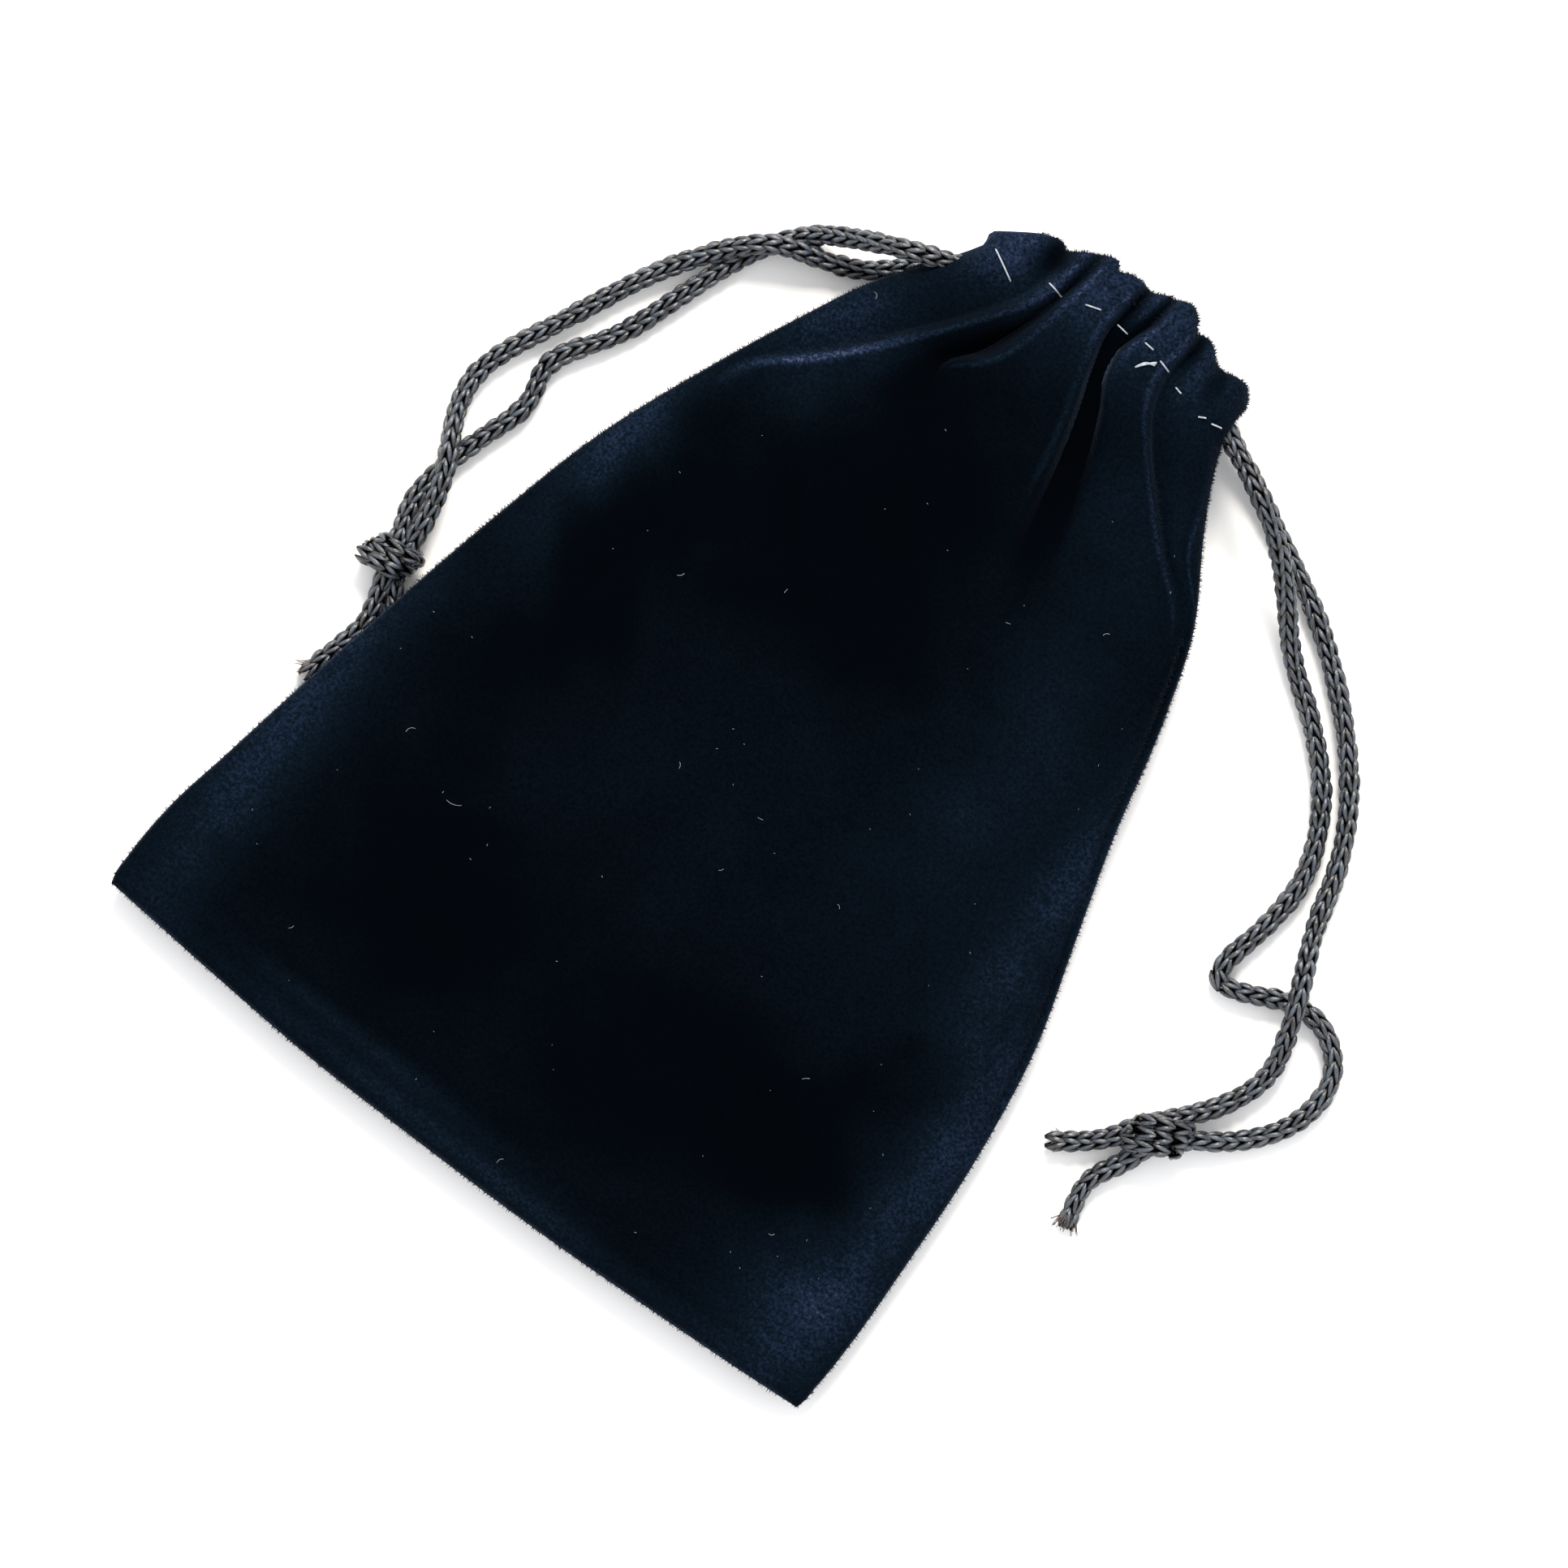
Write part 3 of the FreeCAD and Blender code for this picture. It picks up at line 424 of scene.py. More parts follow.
# X and Y from the swivel and the height of the cord's middle, in millimetres
F = FLOOR / MM
ROUTES = {
    "left_front": [
        (-5.2, -2.1, 11.0), (-11.2, -4.6, 6.2), (-16.4, -7.6, 1.8), (-20.8, -13.4, F),
        (-24.0, -22.4, F), (-26.8, -31.0, F), (-32.4, -38.6, F), (-30.2, -44.0, F),
        (-32.5, -50.4, F), (-34.2, -56.6, F), (-34.6, -61.8, 1.6), (-32.8, -66.4, 2.2),
    ],
    "left_back": [
        (-3.6, -2.4, 1.8), (-8.0, -7.0, 1.4), (-12.8, -9.2, 2.0), (-17.0, -10.2, 3.9),
        (-21.0, -12.6, 3.9), (-24.8, -17.2, 2.0), (-28.4, -22.6, F), (-32.8, -32.4, F),
        (-38.0, -43.6, F), (-37.2, -49.4, 2.0), (-34.8, -53.8, 3.8), (-32.8, -57.6, 3.8),
        (-31.8, -62.0, 3.4), (-31.4, -66.2, 2.6),
    ],
    "right_front": [
        (4.6, -2.3, 11.2), (9.6, -5.3, 8.6), (14.2, -9.5, 5.2), (19.4, -15.1, 1.8),
        (26.4, -19.7, F), (32.8, -25.9, F), (36.8, -34.3, F), (36.4, -42.3, F),
        (34.9, -48.2, F), (35.8, -50.8, F), (39.6, -49.6, F), (44.2, -47.0, F),
        (49.6, -47.0, F), (54.2, -51.2, F), (53.8, -58.4, F), (49.2, -64.5, 1.4), (43.5, -68.1, 2.6),
    ],
    "right_back": [
        (3.8, -1.5, 1.9), (10.0, -4.7, F), (18.2, -8.7, F), (26.2, -14.5, F),
        (34.0, -22.1, F), (38.8, -30.3, F), (41.0, -38.7, 2.0), (43.4, -43.7, 3.8),
        (45.8, -49.3, 3.8), (47.8, -55.5, 2.0), (45.6, -61.7, 1.4), (41.6, -66.5, 2.6),
    ],
}
TAILS = {
    "left_front": [
        (-31.8, -70.0, 2.2), (-30.6, -73.4, F), (-29.8, -77.2, F), (-31.0, -81.2, F), (-31.8, -84.8, F),
    ],
    "left_back": [(-30.6, -69.2, 2.2), (-29.7, -71.6, F), (-27.7, -73.2, F), (-25.2, -73.4, F)],
    "right_front": [
        (41.0, -71.5, 2.4), (40.0, -74.6, F), (38.1, -77.9, F), (38.1, -80.7, F), (39.0, -83.5, F),
    ],
    "right_back": [(38.7, -69.8, 2.4), (37.2, -72.8, F), (34.8, -75.3, F), (32.2, -77.2, F)],
}
# Height of the cord's middle at the lead's inner end, its middle, the casing's end and the swivel
LEAD_HEIGHTS = {"front": (9.5, 9.2, 8.6, 8.8), "back": (4.9, 4.9, 4.0, 2.9)}
cords = {}
lines = {}
for number, (name, route) in enumerate(ROUTES.items()):
    side, level = name.split("_")
    pivot = swivel(side, level)
    out = outward(side)
    reaches = (SWIVEL_REACH + LEAD_IN, SWIVEL_REACH + LEAD_IN / 2, SWIVEL_REACH, 0)
    controls = []
    for reach, height in zip(reaches, LEAD_HEIGHTS[level]):
        place = pivot - out * reach
        controls.append(Vector((place.x, place.y, height * MM)))
    flat = Vector((pivot.x, pivot.y, 0))
    controls += [flat + Vector(p) * MM for p in route + TAILS[name]]
    line = smooth_line(controls)
    cords[name] = knitted(f"{name}_cord", line, number + 1)
    lines[name] = line

# ================================================================ what the casings hide
# Each drawstring goes on inside the front casing, comes out at the far end, turns down in a bight and
# goes back through the rear casing to its own side. It is the same knitted cord.
HIDDEN = {
    "left": [
        (-0.6, 61.3, 9.7), (3.3, 62.1, 9.9), (7.2, 61.3, 10.0), (13.0, 58.6, 10.6), (17.6, 56.4, 10.8),
        (19.6, 55.4, 9.6), (20.2, 55.1, 7.4), (19.6, 55.4, 5.2), (17.6, 56.4, 4.4), (13.0, 58.6, 4.6),
        (7.2, 61.3, 4.9), (3.3, 62.1, 4.9), (-0.6, 61.3, 4.8),
    ],
    "right": [
        (8.2, 63.6, 9.9), (3.3, 64.2, 9.9), (-1.6, 63.6, 9.7), (-7.4, 61.0, 9.8), (-11.4, 59.0, 10.6),
        (-13.2, 58.2, 9.4), (-13.8, 57.9, 7.4), (-13.2, 58.2, 5.2), (-11.4, 59.0, 4.6), (-7.4, 61.0, 4.8),
        (-1.6, 63.6, 4.9), (3.3, 64.2, 4.9), (8.2, 63.6, 4.9),
    ],
}
for number, (side, points) in enumerate(HIDDEN.items()):
    path = smooth_line([Vector(p) * MM for p in points])
    run = knitted(f"{side}_cord_in_casings", path, 11 + number)
    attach(run, "bag")
    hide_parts(f"{side}_front_inner_run", f"{side}_back_inner_run", f"{side}_cord_bight")

# ================================================================ the two knots
# The two strands of each drawstring are tied together with a knot, pulled tight. It stands up as a small
# lump of the same cord: two and a half turns that wind round the strands.
# Middle, the way that the strands go through, and size
KNOTS = {"left": ((-48.5, -14.3), (-0.25, -1.0), 0.86), "right": ((65.2, -12.9), (0.10, -1.0), 1.0)}
KNOT_WIDE = 2.8
KNOT_TALL = 1.55
KNOT_PITCH = 2.5
KNOT_SKEW = 0.7
KNOT_LEVEL = 3.15
KNOT_POINTS = 25
FIRST_TURN, MIDDLE_TURN, LAST_TURN = -0.30, 0.95, 2.20
KNOT_TAPER = 0.10
knots = {}
for number, (side, (centre, heading, size)) in enumerate(KNOTS.items()):
    forward = Vector((*heading, 0)).normalized()
    across = Vector((forward.y, -forward.x, 0))
    origin = Vector((*centre, 0)) * MM
    places = []
    for turn in np.linspace(FIRST_TURN, LAST_TURN, KNOT_POINTS):
        angle = 2 * math.pi * turn
        sideways = KNOT_WIDE * math.sin(angle) * (1 - KNOT_TAPER * abs(turn - MIDDLE_TURN))
        along = KNOT_PITCH * (turn - MIDDLE_TURN) / (2 * MIDDLE_TURN) + KNOT_SKEW * math.sin(angle)
        height = max((KNOT_LEVEL + KNOT_TALL * math.cos(angle)) * size, FLOOR / MM)
        level_place = (across * sideways + forward * along) * size
        places.append(origin + (level_place + Vector((0, 0, height))) * MM)
    knots[side] = knitted(f"{side}_knot_turns", smooth_line(places), 21 + number, twist=40.0)
    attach(knots[side], f"{side}_drawstring")
    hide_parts(f"{side}_knot")

# ================================================================ the cut ends
# Each tail was cut with scissors. The nylon filaments spring apart at the end into a small brush, and two
# of the ends are singed, which leaves a hard brown bead.
FILAMENT = 0.09 * MM
LOWEST = 0.02 * MM


def mottled(name, scale, detail, dark, light, stops=(0.0, 1.0), roughness=0.6, specular=0.5):
    """A matt material that drifts between two tones. The scale is in patches to the metre."""
    material, tree, shader = new_material(name)
    place = add(tree, "ShaderNodeTexCoord")
    drift = add(
        tree, "ShaderNodeTexNoise", values={"Scale": scale, "Detail": detail},
        links={"Vector": place.outputs["Object"]},
    )
    tone = add(tree, "ShaderNodeValToRGB", links={"Fac": drift.outputs["Fac"]})
    for element, stop, colour in zip(tone.color_ramp.elements, stops, (dark, light)):
        element.position = stop
        element.color = linear(colour)
    tree.links.new(tone.outputs["Color"], shader.inputs["Base Color"])
    shader.inputs["Roughness"].default_value = roughness
    shader.inputs["Specular IOR Level"].default_value = specular
    return material


# Loose nylon filaments: thin, dull and brown where the dye is worn and the ends are singed
frayed = mottled("frayed_nylon_filament", 1500.0, 2.0, "#15110f", "#6b5447", (0.38, 0.66), 0.5)


def filament(shape, points, radius, sides=4):
    """A thin tube through a few points that tapers to its end."""
    rows = []
    for k, point in enumerate(points):
        ahead = points[min(k + 1, len(points) - 1)] - points[max(k - 1, 0)]
        frame_turn = ahead.to_track_quat("Z", "Y")
        thick = radius * (1 - 0.55 * k / (len(points) - 1))
        ring = []
        for i in range(sides):
            angle = 2 * math.pi * i / sides
            place = point + frame_turn @ Vector((thick * math.cos(angle), thick * math.sin(angle), 0))
            ring.append(shape.verts.new((place.x, place.y, max(place.z, LOWEST))))
        rows.append(ring)
    for low, high in zip(rows, rows[1:]):
        for i in range(sides):
            j = (i + 1) % sides
            shape.faces.new((low[i], low[j], high[j], high[i])).smooth = True
    shape.faces.new(list(reversed(rows[0])))
    shape.faces.new(rows[-1])


def frayed_end(name, line, seed, count, long, bead):
    """A brush of filaments at a cord's end, and a singed bead where there is one."""
    draws = np.random.default_rng(seed)
    tip = line[-1]
    forward = (line[-1] - line[-6]).normalized()
    across = Vector((-forward.y, forward.x, 0))
    shape = bmesh.new()
    for _ in range(count):
        angle = draws.uniform(0, 2 * math.pi)
        start = tip - forward * 0.6 * MM
        aside = across * math.cos(angle)
        start += (aside + Vector((0, 0, math.sin(angle)))) * KNIT_RADIUS * draws.uniform(0.2, 0.8)
        aim = forward + aside * draws.uniform(0.1, 0.9) + Vector((0, 0, math.sin(angle) * 0.5))
        curl = Vector(draws.uniform(-1, 1, 3)) * 0.35
        points = []
        for k in range(5):
            t = k / 4
            point = start + (aim * t + curl * t * t) * (long * MM * draws.uniform(0.85, 1.15))
            point.z = max(point.z, 0.12 * MM)
            points.append(point)
        filament(shape, points, FILAMENT)
    if bead:
        made = bmesh.ops.create_icosphere(shape, subdivisions=3, radius=KNIT_RADIUS * 0.78)
        for vert in made["verts"]:
            x, y, z = vert.co
            bump = 1 + 0.13 * math.sin(x * 5200 + 1) * math.sin(y * 4700) + 0.1 * math.sin(z * 6100)
            along = x * 0.55 * bump
            vert.co = tip + forward * along + across * y * bump + Vector((0, 0, z * bump * 0.85))
            for face in vert.link_faces:
                face.smooth = True
    mesh = bpy.data.meshes.new(name)
    shape.to_mesh(mesh)
    shape.free()
    mesh.materials.append(frayed)
    return mesh_object(name, mesh)


ENDS = {
    "left_front": (31, 26, 1.5, False), "left_back": (32, 14, 0.9, True),
    "right_front": (33, 30, 1.7, False), "right_back": (34, 12, 0.9, True),
}
ends = {}
for name, (seed, count, long, bead) in ENDS.items():
    side = name.split("_")[0]
    ends[name] = frayed_end(f"{name}_cord_end", lines[name], seed, count, long, bead)
    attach(ends[name], f"{side}_drawstring")

# ================================================================ the pouch: front and back of velvet
# Each side is one piece of black velvet, sewn to the other round its sides and foot with the raw edges
# inside, so that the edge is a soft roll. At the mouth it is turned in and stitched down as a casing for
# the drawstrings. Drawn shut, the cloth stands up in pleats that die out down the pouch.
def smooth_through(pairs, at):
    """Values at given places on a smooth curve through listed (place, value) pairs."""
    place = np.array([p[0] for p in pairs], float)
    value = np.array([p[1] for p in pairs], float)
    order = np.argsort(place)
    place, value = place[order], value[order]
    slope = np.gradient(value, place)
    at = np.clip(np.asarray(at, float), place[0], place[-1])
    index = np.clip(np.searchsorted(place, at) - 1, 0, len(place) - 2)
    gap = place[index + 1] - place[index]
    t = (at - place[index]) / gap
    return (
        value[index] * (1 + 2 * t) * (1 - t) ** 2 + slope[index] * gap * t * (1 - t) ** 2
        + value[index + 1] * t * t * (3 - 2 * t) + slope[index + 1] * gap * t * t * (t - 1)
    )


def roll(distance, reach):
    """A quarter round that climbs from 0 at an edge to 1 at its reach."""
    short = 1 - np.clip(distance / reach, 0, 1)
    return np.sqrt(np.clip(1 - short * short, 0, 1))


def ease(t):
    """A smooth step from 0 to 1."""
    t = np.clip(t, 0, 1)
    return t * t * (3 - 2 * t)


def ridge(distance, middle, width):
    """A bell-shaped ridge across a distance, 1 at its middle."""
    return np.exp(-((distance - middle) / width) ** 2)


def column(rows, number):
    """The first number of each row, paired with another one of them."""
    return [(row[0], row[number]) for row in rows]


def spread(across, left, right):
    """Places from the left edge (-1) to the right edge (1)."""
    return (left + right) / 2 + across * (right - left) / 2


# Y, then X of the left and right edge, in millimetres
OUTLINE = [
    (-67.0, -48.8, 48.6), (-66.0, -50.4, 50.1), (-64.2, -51.3, 51.0), (-61.0, -51.5, 51.3),
    (-53.0, -51.1, 51.4), (-45.0, -49.7, 51.0), (-29.0, -46.9, 49.9), (-13.0, -43.8, 47.2),
    (-1.0, -41.2, 43.4), (11.0, -38.2, 39.6), (27.0, -32.2, 35.4), (37.0, -27.8, 31.8),
    (47.0, -22.8, 25.6), (53.0, -18.6, 22.4), (57.0, -15.9, 20.9), (60.0, -14.1, 20.6),
    (63.0, -12.1, 20.4), (67.0, -10.4, 20.0),
]
FOOT = [
    (-50.0, 2.0), (-46.0, 1.7), (-34.0, 0.8), (-22.0, 0.1), (-4.0, 0.0), (20.0, 0.5), (32.0, 1.2),
    (44.0, 2.0), (50.0, 2.5),
]
MOUTH = [
    (-15.6, 57.6), (-14.4, 59.6), (-13.0, 61.2), (-11.4, 62.8), (-9.4, 63.5), (-7.9, 63.0),
    (-6.4, 64.4), (-4.6, 65.4), (-3.2, 65.5), (-2.4, 64.7), (-1.2, 65.2), (0.4, 65.4), (1.8, 65.2),
    (2.8, 65.2), (4.2, 66.0), (5.6, 66.2), (6.4, 66.6), (7.4, 66.8), (9.0, 66.0), (10.2, 64.6),
    (11.4, 64.9), (13.0, 64.5), (14.6, 63.2), (16.0, 63.0), (18.0, 63.4), (19.8, 62.8),
    (20.6, 61.4), (21.0, 59.4),
]
SEAM_HEIGHT = [
    (-67, 3.6), (-43, 3.8), (-12, 4.5), (11, 5.6), (33, 6.3), (50, 7.0), (56, 7.3), (67, 7.4),
]
EDGE_ROLL = [(-67, 1.6), (-50, 2.3), (-12, 3.2), (11, 3.0), (33, 2.8), (50, 4.2), (58, 6.0), (67, 6.2)]
CROWN = [
    (-67, 0.0), (-58, 0.6), (-45, 2.2), (-25, 3.2), (-8, 3.6), (11, 3.6), (28, 3.9), (42, 4.0),
    (54, 2.4), (60, 1.2), (67, 0.9),
]

# Pleats of the front: along each one, from the mouth down, Y, X and height above the smooth crown
FRONT_PLEATS = [
    [
        (67, -11.2, 0.2), (58, -12.6, 0.3), (50, -17.0, 0.2), (42, -22.6, 0.0), (34, -28.4, 0.0),
        (24, -32.0, 0.0),
    ],
    [
        (67, -7.8, -2.6), (62, -7.6, -2.6), (58, -7.9, -1.4), (54, -9.4, -0.8), (50, -12.2, -0.8),
        (46, -15.2, -0.8), (42, -18.6, -0.8), (38, -22.2, -0.8), (34, -26.0, -0.6),
        (30, -29.8, -0.3), (24, -31.4, 0.0),
    ],
    [
        (67, -5.6, -0.6), (62, -5.3, 0.0), (60, -5.6, 0.4), (58, -6.1, 0.8), (54, -7.7, 1.1),
        (50, -10.5, 1.2), (46, -13.5, 1.2), (42, -16.7, 1.1), (38, -20.1, 1.0), (34, -24.0, 0.8),
        (30, -28.4, 0.4), (24, -30.8, 0.0),
    ],
    [
        (67, -3.9, -1.8), (62, -3.9, -1.7), (58, -4.6, -2.2), (54, -5.7, -2.8), (50, -7.1, -3.8),
        (47, -8.5, -4.0), (45, -10.2, -3.2), (42, -10.9, -2.4), (38, -11.2, -1.8),
        (32, -12.0, -1.0), (24, -13.4, -0.3), (14, -15.0, 0.0),
    ],
    [
        (67, -2.5, -0.5), (62, -2.8, 0.1), (58, -3.2, 0.5), (54, -3.9, 0.7), (50, -4.9, 0.8),
        (47.5, -6.0, 0.6), (45.6, -7.6, 0.2), (44, -9.4, -1.0), (41, -9.6, -1.5), (36, -9.0, -1.0),
        (28, -9.0, -0.3), (14, -9.0, 0.0),
    ],
    [
        (67, -0.2, 0.4), (62, -0.4, 0.6), (58, -0.9, 0.9), (50, -0.6, 0.9), (42, -0.6, 0.4),
        (32, -0.4, 0.0), (14, -0.4, 0.0),
    ],
    [
        (67, 2.0, 0.0), (62, 1.5, 0.2), (58, 1.2, 0.5), (54, 2.0, 0.7), (50, 3.3, 0.7),
        (46, 4.5, 0.5), (42, 5.5, 0.3), (38, 6.4, 0.1), (34, 7.6, 0.0), (24, 9.2, 0.0),
        (14, 10.4, 0.0),
    ],
    [
        (67, 2.8, -1.8), (62, 2.9, -2.2), (58, 2.2, -2.2), (54, 3.2, -2.8), (50, 4.7, -3.0),
        (46, 6.0, -3.0), (42, 7.2, -2.8), (38, 8.4, -2.4), (34, 9.6, -2.0), (28, 11.6, -1.3),
        (20, 13.2, -0.6), (10, 14.6, 0.0),
    ],
    [
        (67, 4.4, 0.1), (63, 4.5, -0.4), (60, 4.0, -1.6), (57, 3.6, -2.7), (54, 4.3, -3.0),
        (50, 6.1, -3.2), (46, 7.5, -3.1), (42, 8.8, -2.9), (38, 10.0, -2.5), (34, 11.2, -2.1),
        (28, 13.1, -1.4), (20, 14.6, -0.6), (10, 15.6, 0.0),
    ],
    [
        (67, 6.1, -1.8), (63, 6.0, -2.0), (60, 5.4, -2.2), (57, 4.9, -2.7), (54, 5.4, -3.0),
        (50, 7.4, -2.8), (46, 9.0, -2.6), (42, 10.4, -2.3), (38, 11.7, -2.0), (34, 12.8, -1.6),
        (28, 14.4, -0.9), (20, 15.8, -0.3), (10, 16.6, 0.0),
    ],
    [
        (67, 7.0, 0.2), (62, 6.8, 0.4), (58, 5.8, 0.6), (54, 6.3, 0.5), (50, 8.8, 0.2),
        (46, 10.8, 0.1), (42, 12.4, 0.0), (34, 15.0, 0.0), (20, 18.0, 0.0), (10, 19.0, 0.0),
    ],
    [
        (67, 8.6, 0.6), (62, 8.7, 0.8), (58, 8.1, 0.9), (54, 9.2, 0.8), (50, 11.8, 0.7),
        (46, 14.8, 0.6), (42, 18.2, 0.4), (38, 23.4, 0.2), (30, 26.6, 0.0), (10, 26.0, 0.0),
    ],
    [
        (67, 10.4, -0.6), (62, 10.3, 0.2), (58, 9.8, 0.8), (54, 11.0, 1.0), (50, 14.2, 1.1),
        (46, 18.0, 1.0), (42, 22.2, 0.8), (38, 27.4, 0.5), (34, 30.6, 0.0), (10, 30.6, 0.0),
    ],
    [
        (67, 11.6, -2.2), (62, 11.7, -2.0), (58, 11.4, -1.3), (54, 12.6, -0.8), (50, 15.7, -0.8),
        (46, 19.4, -0.7), (42, 23.5, -0.6), (38, 28.6, -0.3), (34, 31.2, 0.0), (10, 32.0, 0.0),
    ],
    [
        (67, 13.6, -0.3), (62, 13.8, -0.2), (57, 14.4, -0.2), (53, 17.0, -0.1), (48, 20.8, 0.0),
        (43, 24.2, 0.1), (38, 30.0, 0.0), (34, 31.8, 0.0), (10, 34.0, 0.0),
    ],
    [
        (67, 16.0, -2.0), (62, 16.2, -1.8), (57, 17.2, -0.7), (53, 20.2, -0.3), (48, 23.2, -0.5),
        (43, 25.3, -0.5), (38, 30.6, 0.0), (34, 32.4, 0.0), (10, 35.0, 0.0),
    ],
    [
        (67, 18.4, 0.2), (62, 18.6, 0.2), (57, 19.4, 0.1), (53, 21.4, 0.1), (48, 24.0, 0.2),
        (43, 26.2, 0.1), (38, 31.0, 0.0), (34, 33.0, 0.0), (10, 36.0, 0.0),
    ],
]
SHARP_CRESTS = (2, 4, 12)
PLEAT_GAP = 0.35
PLEATS_END = 8
FOOT_LEVEL = 67


def pleat_height(pleats, x, y):
    """Height of the pleats above the crown at X and Y, with a smooth rise from each one to the next."""
    left, right = smooth_outline(y)
    place = [smooth_through(column(pleat, 1), y) for pleat in pleats]
    height = [smooth_through(column(pleat, 2), y) for pleat in pleats]
    for k in range(1, len(place)):
        place[k] = np.maximum(place[k], place[k - 1] + PLEAT_GAP)
    place = np.array([np.minimum(left, place[0] - 1), *place, np.maximum(right, place[-1] + 1)])
    height = np.array([0 * y, *height, 0 * y])
    index = np.clip((place <= x).sum(axis=0) - 1, 0, len(place) - 2)[None, :]
    start, end = (np.take_along_axis(place, index + k, 0)[0] for k in (0, 1))
    low, high = (np.take_along_axis(height, index + k, 0)[0] for k in (0, 1))
    sharp = np.array([0.8 if k - 1 in SHARP_CRESTS else 0.0 for k in range(len(place))])
    t = np.clip((x - start) / (end - start), 0, 1)
    before, after = sharp[index[0]], sharp[index[0] + 1]
    rise = 3 * t ** 2 - 2 * t ** 3 + before * (t ** 3 - 2 * t ** 2 + t) + after * (t ** 3 - t ** 2)
    return (low + (high - low) * np.clip(rise, 0, 1)) * ease((y - PLEATS_END) / 2)


def smooth_outline(level):
    """X of the pouch's left and right edges at a level."""
    return smooth_through(column(OUTLINE, 1), level), smooth_through(column(OUTLINE, 2), level)


SWELL = 0.16


def undulation(x, y, seed):
    """Slow, shallow swells of slack cloth."""
    draws = np.random.default_rng(seed)
    total = np.zeros_like(x)
    for _ in range(14):
        reach = draws.uniform(14, 42)
        turn, shift = draws.uniform(0, 2 * math.pi, 2)
        distance = x * math.cos(turn) + y * math.sin(turn)
        total += np.sin(distance * 2 * math.pi / reach + shift) * reach / 42
    return total * SWELL


COLUMNS = 200
ROWS = 218
MOUTH_ROWS = 12
HEM_ROWS = 9
HEM_DEPTH = 7.5
LIP = 2.1
MOUTH_MIDDLE = 7.4
CASING_OPENING = 2.4
CASING_START = 55.5
CORNER_LEVEL = -66.0
NECK_LEVEL = 59.5
LEAN = 0.22


def front_surface(x, y, foot=None):
    """Height of the front's outer face for one row of points, and the pleats' share of it."""
    left, right = smooth_outline(y)
    foot = smooth_through(FOOT, x) - FOOT_LEVEL if foot is None else foot
    from_left, from_right, from_foot = x - left, right - x, y - foot
    opening = CASING_OPENING * ease((y - CASING_START) / 3)
    seam = smooth_through(SEAM_HEIGHT, y) + opening
    edge = smooth_through(EDGE_ROLL, y) - opening
    crown = smooth_through(CROWN, y)
    side_reach = 4.5 + 3.0 * ease((30 - y) / 40)
    edges = roll(from_left, side_reach) * roll(from_right, side_reach) * roll(from_foot + 0.02, 2.2)
    span = np.minimum(26.0, (right - left) * 0.42)
    dome = ease(from_left / span) * ease(from_right / span)
    inside = ease(from_left / 6) * ease(from_right / 6) * ease(from_foot / 8)
    # The seam allowances inside show through as low ridges, and the right seam as a groove
    allowance = 0.30 * ridge(from_foot, 4.6, 0.8) - 0.16 * ridge(from_foot, 6.4, 1.2)
    allowance *= ease((from_left - 8) / 12) * ease((from_right - 4) / 8)
    side_allowance = 0.24 * ridge(from_right, 4.2, 0.7) * ease((-24 - y) / 14) * ease(from_foot / 5)
    side_seam = -0.9 * ridge(from_right, 1.05, 0.34) * ease((y + 34) / 12) * ease((40 - y) / 8)
    pleats = pleat_height(FRONT_PLEATS, x, y) * ease(from_left / 1.6) * ease(from_right / 1.6)
    smooth = (
        seam + edge * edges + crown * dome + undulation(x, y, 5) * inside * ease((62 - y) / 20)
        + allowance + side_allowance + side_seam
    )
    return smooth + pleats, pleats


def velvet_grid():
    """Places across and up the pouch, closer together at its sides and in its neck."""
    t = np.linspace(-1, 1, COLUMNS)
    across = 0.72 * t + 0.28 * np.sin(t * math.pi / 2)
    s = np.linspace(0, 1, ROWS)
    up = s + 0.16 * np.sin(s * math.pi) * s ** 0.5
    return across, up / up[-1]


def grid_mesh(name, rows, up_outside):
    """A smooth mesh of quads through rows of points in millimetres."""
    points = np.array(rows) * MM
    high, wide = points.shape[:2]
    index = np.arange(high * wide).reshape(high, wide)
    corners = [index[:-1, :-1], index[:-1, 1:], index[1:, 1:], index[1:, :-1]]
    quads = np.stack(corners, -1).reshape(-1, 4)
    if not up_outside:
        quads = quads[:, ::-1]
    mesh = bpy.data.meshes.new(name)
    mesh.from_pydata(points.reshape(-1, 3).tolist(), [], quads.tolist())
    mesh.shade_smooth()
    return mesh


